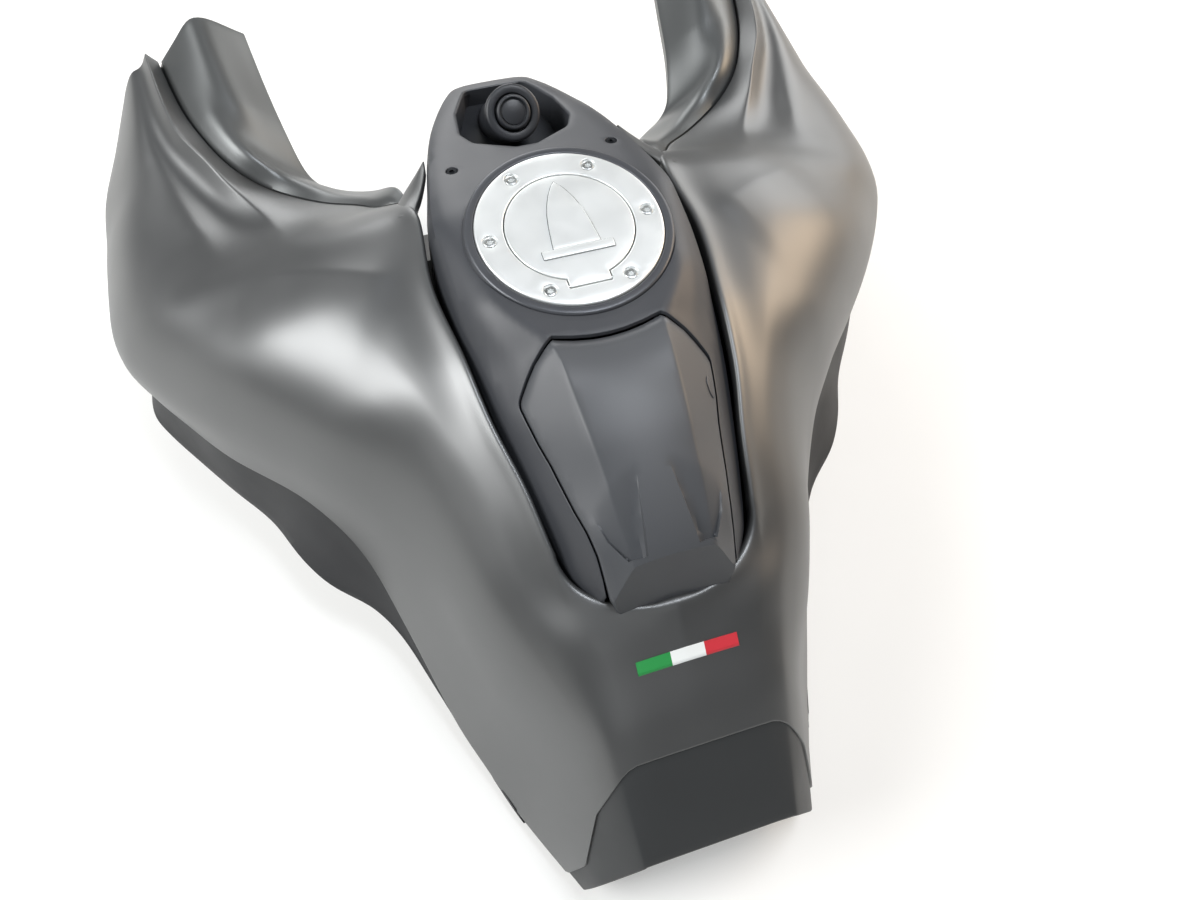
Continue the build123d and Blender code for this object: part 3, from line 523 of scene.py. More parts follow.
# Unit normals of a grid, turned so that the one at the given row and column points up.
def upNormals(grid, row, column):
    normal = np.cross(np.gradient(grid, axis=0), np.gradient(grid, axis=1))
    normal = normal / np.maximum(np.linalg.norm(normal, axis=2), 1e-9)[..., None]
    return -normal if normal[row, column, 2] < 0 else normal


# Rings of a rolled edge: from the edge over a quarter turn, then a flange, inwards or straight down.
def rolled(edge, normal, outward, radius, depth, down=False):
    outward = outward - normal * np.sum(outward * normal, axis=1)[:, None]
    outward /= np.linalg.norm(outward, axis=1)[:, None]
    radius = np.broadcast_to(radius, len(edge))[:, None]
    centre = edge - normal * radius
    rings = [centre + radius * (normal * math.cos(a) + outward * math.sin(a))
             for a in np.radians((22, 45, 68, 90))]
    return rings + [rings[-1] + (np.array((0, 0, -1)) if down else -normal) * depth]


# Rings rolled off a grid's first or last column.
def turnedDown(grid, normal, column, radius, depth, down=True):
    beside = 1 if column == 0 else -2
    return rolled(grid[:, column], normal[:, column], grid[:, column] - grid[:, beside], radius, depth, down)


# A grid with its last row rolled over, towards the front or the back; evened normals keep sharp fins whole.
def turnedIn(grid, column, way, radius, depth, down=False, even=0):
    tip = upNormals(grid, -1, column)[-1]
    for _ in range(even):
        tip[1:-1] = (tip[:-2] + tip[1:-1] + tip[2:]) / 3
    tip = tip / np.linalg.norm(tip, axis=1)[:, None] if even else tip
    return rolled(grid[-1], tip, np.tile((way, 0, 0), (len(tip), 1)), radius, depth, down)


def coverGrid():
    unit = np.array([0, .04, .09, .16, .25, .36, .48, .6, .72, .82, .9, .96])
    columns = np.append(np.concatenate([k + unit for k in range(1, 7)]), 7.0)
    # Behind, rows fan out from the opening's round end to the rear edge and the lower edge.
    centreX, reachX, reachY = cover["openingRear"]
    straight = np.arange(centreX, cover["front"] + 0.1, cover["rowStep"])
    straight = np.append(straight[:-1], cover["front"])
    ahead = np.stack([coverPoints(np.full(len(columns), x), columns) for x in straight])
    us = np.linspace(0, 7, 141)
    xs = np.full(len(us), cover["seam"])
    planY, planX = zip(*cover["rearPlan"])
    for _ in range(12):
        xs = np.maximum(np.interp(coverPoints(xs, us)[:, 1], planY, planX), cover["back"])
    lower = np.linspace(xs[-1], centreX, 60)[1:]
    rimX, rimU = np.append(xs, lower), np.append(us, np.full(len(lower), 7.0))
    run = np.linalg.norm(np.diff(coverPoints(rimX, rimU), axis=0), axis=1)
    path = np.append(0, np.cumsum(run)) / run.sum()
    count = cover["spokes"]
    share = np.linspace(0, 1, count + 1)[:-1]
    outX, outU = np.interp(share, path, rimX), np.interp(share, path, rimU)
    turn = share * math.pi / 2
    inX, inY = centreX - reachX * np.cos(turn), reachY * np.sin(turn)
    inU = uAtWidth(inX, inY)
    t = (columns - 1) / 6
    behind = np.stack([coverPoints(inX[k] + (outX[k] - inX[k]) * t, inU[k] + (outU[k] - inU[k]) * t)
                       for k in range(count)])
    grid = np.concatenate([behind, ahead])
    upAt = (count + 20, 5)
    normal = upNormals(grid, *upAt)
    # A low bead runs along the opening's edge, with a shallow valley behind it.
    steps = np.linalg.norm(np.diff(grid, axis=1), axis=2)
    gone = np.append(np.zeros((len(grid), 1)), np.cumsum(steps, axis=1), 1)
    reach = cover["beadReach"]
    deep, far, wide = cover["valley"]
    bead = np.exp(-(gone / reach) ** 2) - deep * np.exp(-((gone - far * reach) / (wide * reach)) ** 2)
    fade = 1 - smoothStep(grid[:, :1, 0], *cover["beadFade"])
    first, last = (np.array(p, float) for p in cover["fold"])
    whole = np.linalg.norm(last - first)
    run = (last - first) / whole
    offset = grid[..., :2] - first
    across, length = offset @ np.array([run[1], -run[0]]), offset @ run
    reach = np.where(across > 0, cover["foldAhead"], cover["foldBehind"])
    soft = cover["foldSoft"]
    fold = cover["foldHeight"] * np.exp(-(np.sqrt(across**2 + soft**2) - soft) / reach)
    fold = fold * smoothStep(length, *cover["foldStart"])
    fold = fold * (1 - smoothStep(length, *(whole + end for end in cover["foldEnd"])))
    grid = grid + normal * (cover["bead"] * bead * fade + fold)[..., None]
    normal = upNormals(grid, *upAt)
    rimXs = grid[:, 0, 0]
    thin, thick = cover["lipSide"], cover["lipRear"]
    radius = thin + (thick - thin) * (1 - smoothStep(rimXs, *cover["lipBack"]))
    radius = radius * (1 - 0.5 * smoothStep(rimXs, *cover["lipSlim"]))
    inner = turnedDown(grid, normal, 0, radius, cover["lipDepth"])
    hem = turnedDown(grid, normal, -1, cover["hem"], cover["hemDepth"], False)
    full = np.concatenate([np.stack(inner[::-1], 1), grid, np.stack(hem, 1)], 1)
    nose = turnedIn(full, len(inner) + 5, 1.0, cover["nose"], cover["noseDepth"], even=cover["noseEven"])
    return np.concatenate([full, np.stack(nose)], 0)


half = coverGrid()
both = np.concatenate([half[:0:-1] * (1, -1, 1), half])
shown("tank_cover_skin", gridPart(both), "cover_paint", "tank_cover", sharp=50)
report("cover")

# Spine panel and storage lid.
spine = {
    # x, height on the middle line, then four corners (y, z): ridge, lid line, edge, foot at the cover's lip.
    "rows": [
        (-250, -60, (26, -62), (42, -76), (43.5, -79), (46, -88)),
        (-236, -44, (27, -46), (43.5, -67), (45.5, -71), (47.6, -83)),
        (-226, -38, (27.5, -40), (44.4, -57), (47, -63), (55, -84)),
        (-215, -32.5, (28.3, -34.5), (45.2, -48), (50, -57), (61, -81)),
        (-200, -26, (29.3, -28.5), (47.7, -42.5), (53.5, -53.5), (65.5, -78)),
        (-172, -15.5, (31, -18.7), (53.4, -39.4), (63, -52.5), (71, -67)),
        (-153, -9.5, (32.7, -12), (57.2, -36), (68.4, -50), (74.5, -61)),
        (-125, -3.6, (34.8, -5.5), (63.2, -30), (73.7, -43), (80, -54)),
        (-108, -2, (35.7, -1.7), (64.6, -26.5), (76.5, -38.5), (83, -50)),
        (-90, -2.2, (37, -1.1), (60, -16), (79.5, -33.5), (85.5, -46)),
        (-65, -1.6, (54, -1.8), (70, -12), (84, -28.5), (88.7, -42)),
        (-40, -1.4, (66, -2.2), (77, -9), (87.5, -22), (91.3, -39)),
        (0, -4, (66, -4.5), (79, -9), (89, -17.5), (94, -39)),
        (30, -8, (67, -8.5), (80, -11), (89, -16.5), (93.2, -40)),
        (57, -15.5, (68, -16), (79, -18), (86, -22), (89.2, -40)),
        (83, -24, (66, -24.5), (75, -26), (81, -28.5), (83, -40)),
        (114, -34, (61, -34.5), (70, -36), (75.5, -38.5), (76.8, -46)),
        (150, -46, (53, -46.5), (61, -48), (66.5, -50.5), (67.5, -56)),
        (176, -56, (44, -56.5), (51, -58), (57.5, -60.5), (58.5, -66)),
        (200, -63, (34, -64), (41, -66), (47, -69), (48, -74)),
        (222, -73, (22, -73.5), (30, -75), (36, -78), (37, -82)),
    ],
    # x, then how far the ridge's and the lid line's bend reaches on either side.
    "bends": [(-250, 1.0, 1.6, 1.2), (-90, 1.0, 2.0, 1.6), (-70, 3.0, 3.0, 1.8), (-30, 5.0, 3.0, 1.8),
              (100, 4.0, 2.5, 0.6), (222, 4.0, 2.5, 0.5)],
    # The outline's two ends, and the corner radii where it follows the feet in between.
    "rearEnd": (-235.5, 47.6, 0.6), "frontEnd": (222, 35, 8),
    "corners": [8, 20, 30, 60, 60, 60, 60, 60, 60, 60, 80, 60, 60, 60, 60, 60, 40, 30],
    "recess": [(108, 8, 4), (124, 37, 9), (140, 44, 9), (174, 40, 12), (210, 25, 6)],
    "bezelHole": 72.4, "wall": 20.0, "shortWall": 1.6,
    # A screw's place, its seat, its head (radius, socket, depth) and how far it is sunk.
    "screwAt": (91, 61.5), "screwSeat": 4.6, "screw": (3.9, 1.8, 1.5), "screwSunk": 1.0,
    # Edge radii of the outline, the bezel's hole, the recess and both seats, and walls of all but the first.
    "edges": [0.8, 0.6, 2.6, 0.5, 0.5], "walls": [14.0, 30.0, 2.2, 2.2], "draft": 0.6,
}
spineSides = [(row[0], row[-1][0], r) for row, r in zip(spine["rows"][2:], spine["corners"])]
spineOuter = [spine["rearEnd"], *spineSides, spine["frontEnd"]]
lidPlan = {
    # The left edge from the back to the front corner (x, y, radius); the front edge bows forward between.
    "left": [(-246.6, 38, 5), (-240, 43, 20), (-228, 44, 20), (-215, 45, 20), (-200, 47.5, 20),
             (-185, 51, 20), (-169, 54, 20), (-153, 57, 20), (-137, 61, 20), (-121, 64, 12),
             (-108.5, 65.9, 9), (-92, 51.8, 60), (-82.2, 36.2, 1.2)],
    "frontX": -88.4, "gap": 1.4, "bevel": 7.0, "bevelDrop": 3.4, "wall": 1.6,
    "skirtX": -230.0, "skirtZ": -41.0, "skirtSlope": 2.516,
    "scoop": [(-172, 10), (-192, 43.5), (-211, 38.5), (-226.5, 29.5), (-227.5, 17.0)],
    "scoopDeep": 5.2, "scoopRun": 36.0, "scoopRim": 1.5, "scoopCurve": 1.15,
    "button": (-131, -58.4), "buttonReach": (7.2, 2.3), "buttonHigh": 1.0,
}
spineFlow = tableFlow(spine["rows"], 5.0)


def spineHeight(plan):
    x, y = plan[:, 0], np.abs(plan[:, 1])
    row = looked(spineFlow, np.clip(x, spine["rows"][0][0], spine["rows"][-1][0]))
    ys, zs = row[:, 1::2], row[:, 2::2]
    stations, *reaches = zip(*spine["bends"])
    bends = [np.interp(x, stations, reach) for reach in reaches]
    crown = 2 * (zs[:, 0] - row[:, 0]) / ys[:, 0]
    height = np.where(y < ys[:, 0], row[:, 0] + (zs[:, 0] - row[:, 0]) * (y / ys[:, 0]) ** 2,
                      zs[:, 0] + crown * (y - ys[:, 0]))
    before = crown
    for k in range(3):
        slope = (zs[:, k + 1] - zs[:, k]) / (ys[:, k + 1] - ys[:, k])
        height = height + (slope - before) * ramp(y - ys[:, k], bends[k])
        before = slope
    return height


def mirroredPlan(half):
    return list(half) + [(x, -y, *r) for x, y, *r in reversed(half) if y > 0]


# Crease lines on both sides, a little off one corner line of the spine's table.
def cornerLines(xs, column, offsets):
    ys = looked(spineFlow, xs)[:, column]
    return [np.column_stack([xs, side * (ys + off)]) for off in offsets for side in (1, -1)]


def frontLine(y):
    endX, endY, _ = lidPlan["left"][-1]
    return lidPlan["frontX"] + (endX - lidPlan["frontX"]) * (y / endY) ** 2


def frontCorners(gap):
    return [(frontLine(y) + gap, y, 20) for y in (24, 12, 0, -12, -24)]


# The panel's wall is deep along the cover and short along the lid, where the lid's arms pass under it.
def panelWall(loop):
    outer = np.array([corner[:2] for corner in spineOuter])
    near = distanceTo(np.column_stack([loop[:, 0], np.abs(loop[:, 1])]), outer) < 1.5
    return np.where(near | (loop[:, 0] > 215), spine["wall"], spine["shortWall"])


def buildPanel():
    gap = lidPlan["gap"]
    notch = []
    for x, y, r in lidPlan["left"][2:]:
        grow = gap * 0.7 if y < 40 else 0.1
        notch.append((x + grow + (0.2 if x > -95 else 0), y + gap * (0.9 if y > 40 else 0.6), r))
    middle = frontCorners(gap)
    left = [(-235.5, 45.1, 0.4)] + notch
    plan = mirroredPlan(spineOuter)
    inward = [(x, -y, r) for x, y, r in left] + middle[::-1] + [(x, y, r) for x, y, r in reversed(left)]
    outline = closedLine(plan + inward, 3.0)
    bezel = circleLine(0, 0, spine["bezelHole"], 144)
    recess = closedLine(mirroredPlan(spine["recess"]), 2.5)
    sx, sy = spine["screwAt"]
    seats = [circleLine(sx, side * sy, spine["screwSeat"], 28) for side in (1, -1)]
    lines = cornerLines(np.arange(-228, 214, 4.0), 5, (-1.2, 1.2))
    return patchPart(outline, spineHeight, [bezel, recess, *seats], lines, 4.2, spine["draft"],
                     edges=spine["edges"], walls=[panelWall, *spine["walls"]])


def scoopDepth(plan):
    corners = np.array(lidPlan["scoop"])
    point = np.column_stack([plan[:, 0], np.abs(plan[:, 1])])
    run = (corners[1] - corners[0]) / np.linalg.norm(corners[1] - corners[0])
    deep = np.abs((point - corners[0]) @ np.array([run[1], -run[0]]))
    walls = distanceTo(point, np.concatenate([corners[1:], corners[:1]]))
    depth = lidPlan["scoopDeep"] * np.clip(deep / lidPlan["scoopRun"], 0, 1) ** lidPlan["scoopCurve"]
    return np.where(insideLoop(point, corners), depth * smoothStep(walls, 0, lidPlan["scoopRim"]), 0)


def skirtHeight(x):
    return lidPlan["skirtZ"] + lidPlan["skirtSlope"] * (x - lidPlan["skirtX"])


def lidHeight(plan):
    x, y = plan[:, 0], np.abs(plan[:, 1])
    endY = lidPlan["left"][-1][1]
    ahead = np.where(y < endY, frontLine(np.minimum(y, endY)) - x, 1e3)
    cornerLine = np.array([(x0, y0) for x0, y0, _ in lidPlan["left"][-3:]])
    ahead = np.minimum(ahead, distanceTo(np.column_stack([x, y]), cornerLine) + 1.4)
    bevel = lidPlan["bevelDrop"] * np.clip(1 - ahead / lidPlan["bevel"], 0, 1.1) ** 1.4
    return np.minimum(spineHeight(plan) - bevel - scoopDepth(plan), skirtHeight(x))


def buildLid():
    half = lidPlan["left"]
    outline = closedLine(half + frontCorners(0) + [(x, -y, r) for x, y, r in reversed(half)], 2.2)
    lines = cornerLines(np.arange(-226, -90.9, 3.0), 1, (-1.2, 0, 1.2))
    # A crease where the skirt at the back meets the top.
    trial = np.arange(-246, -226, 0.25)
    skirt = []
    for y in np.arange(-43, 43.1, 2.0):
        over = spineHeight(np.column_stack([trial, np.full(len(trial), y)])) - skirtHeight(trial)
        skirt.append((np.interp(0, -over, trial), y))
    ys = np.arange(-34, 34.1, 2.0)
    lines += [np.array(skirt), np.column_stack([frontLine(ys) - lidPlan["bevel"], ys])]
    corners = np.array(lidPlan["scoop"])
    rim = np.concatenate([corners[1:], corners[:1]])
    inward = corners.mean(0) - rim
    inward /= np.linalg.norm(inward, axis=1)[:, None]
    lines += [evenLine((rim + inward * inset) * (1, side), 2.0) for side in (1, -1) for inset in (0.0, 1.7)]
    return patchPart(outline, lidHeight, (), lines, spacing=3.2, edges=[1.0], walls=[4.5])


# Release button: a low oval pad on the right flank of the lid.
def buildButton():
    outline = circleLine(0, 0, 1, 40) * lidPlan["buttonReach"] + lidPlan["button"]
    return patchPart(outline, lambda plan: lidHeight(plan) + lidPlan["buttonHigh"], spacing=1.6, edges=[0.7],
                     walls=[1.6])


shown("spine_panel_skin", buildPanel(), "panel_plastic", "spine_panel", sharp=38)
shown("storage_lid_skin", buildLid(), "lid_plastic", "storage_lid", body="box_lid", sharp=24,
      wall=lidPlan["wall"])
shown("lid_button_pad", buildButton(), "lid_plastic", "lid_button", body="box_lid",
      look=finishes["bezel_plastic"], sharp=50)
report("panel and lid")

# Filler cap and its bezel.
cap = {
    "bezel": [(65.5, -7.5), (65.5, -1.5), (65.9, -1.0), (66.6, -0.8), (70.0, -0.8), (71.2, -1.2),
              (71.9, -2.2), (72.4, -4.0), (77.6, -23.6), (75.0, -23.6), (69.6, -5.0), (69.0, -7.5)],
    "ring": 65.0, "ringEdge": 1.5, "flap": 44.4, "flapGap": 0.9, "tabX": -49.2, "tabHalf": 14.4,
    "seat": 5.2, "seatCircle": 55.8, "seatDeep": 1.1, "screw": (4.3, 2.0, 1.5), "screwSunk": 0.35,
    "thick": 3.0,
    "arrow": [(-17.4, 16.6, 0.6), (-8, 15.6, 20), (2, 14.4, 30), (12, 12.6, 30), (21, 9.9, 30), (29, 6.6, 20),
              (35, 3.2, 8), (39, 0, 0.4)],
    "bar": [(-24.3, 25, 1.0), (-17.5, 25, 1.0)], "coverHigh": 0.85, "coverRise": 0.4,
    # The painted shade of the shut line: its reach inwards and outwards, and how far it lies above the flap.
    "seam": (0.3, 0.45, 0.08),
}
capSeats = [(cap["seatCircle"] * math.cos(a), cap["seatCircle"] * math.sin(a))
            for a in np.radians(np.arange(30, 360, 60))]


def tabbedCircle(radius, tabX, half, count=150):
    turn = math.asin(half / radius)
    angles = np.linspace(-math.pi + turn, math.pi - turn, count)
    arc = np.stack([radius * np.cos(angles), radius * np.sin(angles)], 1)
    corner = 1.6
    bend = np.radians(np.linspace(90, 180, 5))
    upper = np.stack([tabX + corner + corner * np.cos(bend), half - corner + corner * np.sin(bend)], 1)
    lower = upper[::-1] * (1, -1)
    return evenLine(np.concatenate([arc, upper, lower]), 2.0, closed=True)


def level(z):
    return lambda plan: np.full(len(plan), float(z))


def buildRing():
    outer = circleLine(0, 0, cap["ring"], 180)
    gap = cap["flapGap"]
    hole = tabbedCircle(cap["flap"] + gap, cap["tabX"] - gap, cap["tabHalf"] + gap)
    seats = [circleLine(x, y, cap["seat"], 32) for x, y in capSeats]
    count = len(capSeats)
    ring = patchPart(outer, level(0), [hole, *seats], edges=[cap["ringEdge"], 0.8] + [0.35] * count,
                     walls=[3.4, 3.6] + [0.8] * count)
    floor = [(0.01, -cap["seatDeep"]), (5.25, -cap["seatDeep"])]
    return joinedParts([ring] + [lathePart(floor, 32, (x, y, 0)) for x, y in capSeats])


# The flap is a disc with a tab, closed below by one face over the last ring of points.
def buildFlap():
    outline = tabbedCircle(cap["flap"], cap["tabX"], cap["tabHalf"])
    points, faces = patchPart(outline, level(0), spacing=6.0, edges=[0.8], walls=[cap["thick"] - 0.8])
    return points, faces + [tuple(range(len(points) - len(outline), len(points)))]


# The key cover's arrow rises a little towards its tip, and one flank of the tip is cut flat.
def arrowHeight(plan):
    x, y = plan[:, 0], plan[:, 1]
    rise = cap["coverHigh"] + cap["coverRise"] * smoothStep(x, -17, 20)
    facet = 0.55 * np.clip((-y - 2.5 + (x - 22) * 0.3) / 3, 0, 1) * smoothStep(x, 14, 18)
    return rise - facet


def buildKeyCover():
    arrow = closedLine(mirroredPlan(cap["arrow"]), 1.6)
    bar = closedLine(mirroredPlan(cap["bar"]), 1.6)
    crease = evenLine([(-14.0, 0.0), (34.0, 0.0)], 2.0)
    shapes = ((arrow, arrowHeight, [crease]), (bar, level(0.9), []))
    return joinedParts([patchPart(loop, height, creases=lines, spacing=2.4, edges=[0.55], walls=[2.0],
                                  draft=0.15) for loop, height, lines in shapes])


# Painted shade in the shut line round the key cover: a thin dark strip just above the flap that stands for
# the gap's shadow.
def keyGapShade():
    inside, outside, lift = cap["seam"]
    parts = []
    for shape in (cap["arrow"], cap["bar"]):
        loop = closedLine(mirroredPlan(shape), 1.6)
        loop = loop if signedArea(loop) > 0 else loop[::-1]
        out = -leftNormals(loop)
        rings = np.concatenate([loop - out * inside, loop + out * outside])
        count = len(loop)
        faces = [(i, count + i, count + (i + 1) % count, (i + 1) % count) for i in range(count)]
        parts.append((np.column_stack([rings, np.full(len(rings), lift)]), faces))
    return joinedParts(parts)


# Countersunk head with a six-lobed socket.
def screwHeadPart(radius, socket, deep):
    count = 72
    turn = fullTurn(count)
    lobes = socket * (1 + 0.17 * np.cos(6 * turn))
    rings = [(radius * 0.8, -2.0), (radius, -0.5), (radius * 0.97, -0.2), (radius * 0.9, 0.0), (None, 0.0),
             (None, -0.12), (None, -deep), (0.02, -deep)]
    columns = []
    for k, (r, z) in enumerate(rings):
        across = lobes * (1.06 if k == 4 else 1.0) if r is None else np.full(count, r)
        columns.append(np.stack([across * np.cos(turn), across * np.sin(turn), np.full(count, z)], -1))
    points = np.stack(columns, 1).reshape(-1, 3)
    return points, gridFaces(count, len(rings), closedRows=True)


# Copies of one mesh on points, each turned by its own chance angle, made real at the end.
def repeated(name, places, part, material, seed):
    source = meshPiece(name + "_source", *part, material, sharp=35, outwards=True)
    source.data.transform(Matrix.Translation(-Vector(capCentre)))
    mesh = bpy.data.meshes.new(name)
    mesh.from_pydata([tuple(p) for p in placed(places)], [], [])
    holder = linked(name, mesh)
    tree = bpy.data.node_groups.new(name + "_repeat", "GeometryNodeTree")
    tree.interface.new_socket("Geometry", in_out="INPUT", socket_type="NodeSocketGeometry")
    seedSocket = tree.interface.new_socket("Seed", in_out="INPUT", socket_type="NodeSocketInt")
    tree.interface.new_socket("Geometry", in_out="OUTPUT", socket_type="NodeSocketGeometry")
    given = addNode(tree, "NodeGroupInput")
    shape = addNode(tree, "GeometryNodeObjectInfo", {"Object": source})
    turn = addNode(tree, "FunctionNodeRandomValue", {"Seed": given.outputs["Seed"]}, data_type="FLOAT_VECTOR")
    turn.inputs[0].default_value = (0, 0, 0)
    turn.inputs[1].default_value = (0, 0, 2 * math.pi)
    copies = addNode(tree, "GeometryNodeInstanceOnPoints", {"Points": given.outputs["Geometry"],
                                                            "Instance": shape.outputs["Geometry"],
                                                            "Rotation": turn.outputs[0]})
    real = addNode(tree, "GeometryNodeRealizeInstances", {"Geometry": copies.outputs[0]})
    coated = addNode(tree, "GeometryNodeSetMaterial", {"Geometry": real.outputs[0], "Material": material})
    addNode(tree, "NodeGroupOutput", {"Geometry": coated.outputs[0]})
    repeat = holder.modifiers.new("repeat", "NODES")
    repeat.node_group = tree
    repeat[seedSocket.identifier] = seed
    ready = holder.evaluated_get(bpy.context.evaluated_depsgraph_get())
    holder.data = bpy.data.meshes.new_from_object(ready)
    holder.modifiers.clear()
    bpy.data.objects.remove(source)
    return holder


shown("filler_bezel_ring", lathePart(cap["bezel"] + cap["bezel"][:1], 160), "bezel_plastic",
      "filler_bezel", sharp=50, outwards=True)
shown("cap_ring_disc", buildRing(), "cap_aluminium", "cap_ring")
shown("filler_flap_disc", buildFlap(), "cap_aluminium", "filler_flap", body="cap_flap")
# The key cover in aluminium, with its strip of painted shade around it in the dark bezel plastic.
raised, seam = buildKeyCover(), keyGapShade()
shown("key_cover_arrow", joinedParts([raised, seam]), "cap_aluminium", "key_cover", body="cap_flap",
      look=[finishes["cap_aluminium"], finishes["bezel_plastic"]], sharp=25,
      faceMaterials=[0] * len(raised[1]) + [1] * len(seam[1]))
ringScrews = [(x, y, -cap["screwSunk"]) for x, y in capSeats]
kept(repeated("cap_screws", ringScrews, screwHeadPart(*cap["screw"]), screwSteel, 3), "tank_unit",
     "cap_aluminium")
sx, sy = spine["screwAt"]
sunk = float(spineHeight(np.array([[sx, sy]]))[0]) - spine["screwSunk"]
panelScrews = [(sx, side * sy, sunk) for side in (1, -1)]
kept(repeated("panel_screws", panelScrews, screwHeadPart(*spine["screw"]), socketSteel, 5), "tank_unit",
     "panel_plastic")
report("cap")

# Switch in the recess: a ring and a stepped knob on a tilted axis.
switch = {
    "centre": (146.0, 0.0, -37.0), "tilt": 40.0,
    "ring": [(14.4, -8.5), (14.4, -1.4), (14.9, -0.5), (16.0, -0.1), (19.4, -0.1), (20.7, -0.6),
             (21.4, -1.8), (21.4, -8.9)],
    "knob": [(0.02, 2.6), (8.6, 2.6), (9.2, 2.3), (9.5, 1.5), (10.1, 1.5), (10.4, 2.9), (10.9, 3.5),
             (11.8, 3.6), (12.7, 3.2), (13.2, 2.3), (13.3, -5.8)],
}
tilted = Matrix.Translation(switch["centre"]) @ Matrix.Rotation(math.radians(-switch["tilt"]), 4, "Y")
for key in ("ring", "knob"):
    shown("switch_" + key + "_turned", turnedBy(lathePart(switch[key]), tilted), "switch_plastic",
          "switch_" + key, outwards=True)
report("switch")

# Front inner trims, from under the cover's seam to the edge of the opening.
frontTrim = {
    # seam x, then the opening's edge (x, y, z), and the heights at a quarter and at half of the way across.
    "stations": [(90, 98, 97, -59, -58, -59), (106, 117, 101, -62, -65, -63), (132, 155, 115, -103, -91, -95),
                 (160, 192, 136, -138, -109, -118), (182, 213, 155, -151, -108, -118),
                 (204, 219, 168, -136, -91, -106), (245, 253, 177, -114, -84, -86),
                 (275, 297, 184, -104, -81, -74), (331, 342.4, 190, -88, -76, -60)],
    "seamGap": 2.6, "seamDrop": 0.9, "edge": 1.4, "wall": 9.0, "nose": 1.2, "noseDepth": 6.0,
    # Rows of the hem under the cover: how far aside of the seam and how far down.
    "hidden": ((9.0, 7.5), (2.2, 5.0), (0.3, 1.6)),
    # Steps along the stations and how far they are evened, and the same across.
    "step": 0.08, "even": 0.28, "columns": 22, "evenAcross": 0.07,
}


def buildFrontTrim():
    table = np.array(frontTrim["stations"], float)
    rows = flowing(np.arange(len(table)), table, frontTrim["step"], frontTrim["even"])[1]
    seam = coverPoints(rows[:, 0], np.ones(len(rows)))
    edge = rows[:, 1:4]
    inward = edge[:, :2] - seam[:, :2]
    run = np.linalg.norm(inward, axis=1)[:, None]
    inward = inward / run
    start = seam.copy()
    start[:, :2] += inward * np.minimum(frontTrim["seamGap"], run * 0.3)
    start[:, 2] -= frontTrim["seamDrop"]
    t = np.linspace(0, 1, frontTrim["columns"])
    knots = np.array([0, 0.25, 0.5, 1.0])
    heights = np.stack([start[:, 2], rows[:, 4], rows[:, 5], edge[:, 2]], 1)
    grid = np.empty((len(rows), len(t), 3))
    for k in range(len(rows)):
        z = flowing(knots, heights[k][:, None], 1 / (len(t) - 1), frontTrim["evenAcross"])[1]
        grid[k, :, 2] = z[:len(t), 0]
        grid[k, :, :2] = start[k, :2] + (edge[k, :2] - start[k, :2]) * t[:, None]
    normal = upNormals(grid, len(rows) // 2, 8)
    inner = turnedDown(grid, normal, -1, frontTrim["edge"], frontTrim["wall"])
    aside = np.column_stack([-inward, np.zeros(len(rows))])
    hidden = [grid[:, 0] + aside * reach - np.array([0, 0, fall]) for reach, fall in frontTrim["hidden"]]
    full = np.concatenate([np.stack(hidden, 1), grid, np.stack(inner, 1)], 1)
    nose = turnedIn(full, 8, 1.0, frontTrim["nose"], frontTrim["noseDepth"])
    return np.concatenate([full, np.stack(nose)], 0)


shownPair("front_trim_skin_", buildFrontTrim(), "trim_plastic", "front_trim_", 45)
report("front trims")

# Rear cover: the cover's form carried on a little deeper, behind the seam.
rear = {"start": -324.0, "end": -378.0, "reach": 15.6, "drop": 1.8, "step": 4.5,
        "nose": 2.3, "noseDepth": 3.0, "foot": -294.0, "return": (2.4, 0, 5.0)}


def buildRearCover():
    us = np.linspace(0, 7, 64)
    us = np.concatenate([-us[:0:-1], us])
    sides = np.column_stack([np.ones(len(us)), np.sign(us + 1e-9), np.ones(len(us))])
    xs = np.arange(rear["start"], rear["end"] - 0.1, -rear["step"])
    rows = [coverPoints(np.full(len(us), x), np.abs(us)) * sides for x in xs]
    slope, last = (rows[-1] - rows[-2]) / rear["step"], rows[-1]
    rows += [last + slope * reach for reach in (6.0, 12.0, rear["reach"])]
    grid = np.stack(rows)
    middle = len(us) // 2
    grid = grid - upNormals(grid, 4, middle) * rear["drop"]
    nose = turnedIn(grid, middle, -1.0, rear["nose"], rear["noseDepth"], True)
    # The back is closed by a wall down to the lower edge, with a short return inside.
    foot = nose[-1].copy()
    foot[:, 2] = np.minimum(foot[:, 2], rear["foot"])
    inside = np.array(rear["return"])
    back = [(nose[-1] + foot) / 2, foot, foot + inside * (1, 1, 0), foot + inside]
    return np.concatenate([grid, np.stack(nose + back)], 0)


shown("rear_cover_skin", gridPart(buildRearCover()), "rear_plastic", "rear_cover", sharp=60, outwards=True)
report("rear cover")

# Three-colour stripe, laid on the cover.
stripe = {"x": -279.5, "half": 35.6, "width": 8.0, "lift": 0.45}


def buildStripe():
    across = np.linspace(-stripe["width"] / 2, stripe["width"] / 2, 5) + stripe["x"]
    along = np.linspace(-stripe["half"], stripe["half"], 37)
    grid = np.empty((len(across), len(along), 3))
    for k, x in enumerate(across):
        xs = np.full(len(along), x)
        top = coverPoints(xs, uAtWidth(xs, np.abs(along)))
        grid[k] = np.column_stack([xs, along, top[:, 2] + stripe["lift"]])
    return np.concatenate([grid[:1] - (0.1, 0, 0.5), grid, grid[-1:] - (-0.1, 0, 0.5)], 0)


grid = buildStripe()
rows, columns = grid.shape[0] - 1, grid.shape[1] - 1
bands = [2 - 3 * c // columns for c in range(columns)] * rows
shown("tank_stripe_film", gridPart(grid), "stripe_film", "tank_stripe", look=stripeFilms, sharp=60,
      faceMaterials=bands)
report("stripe")

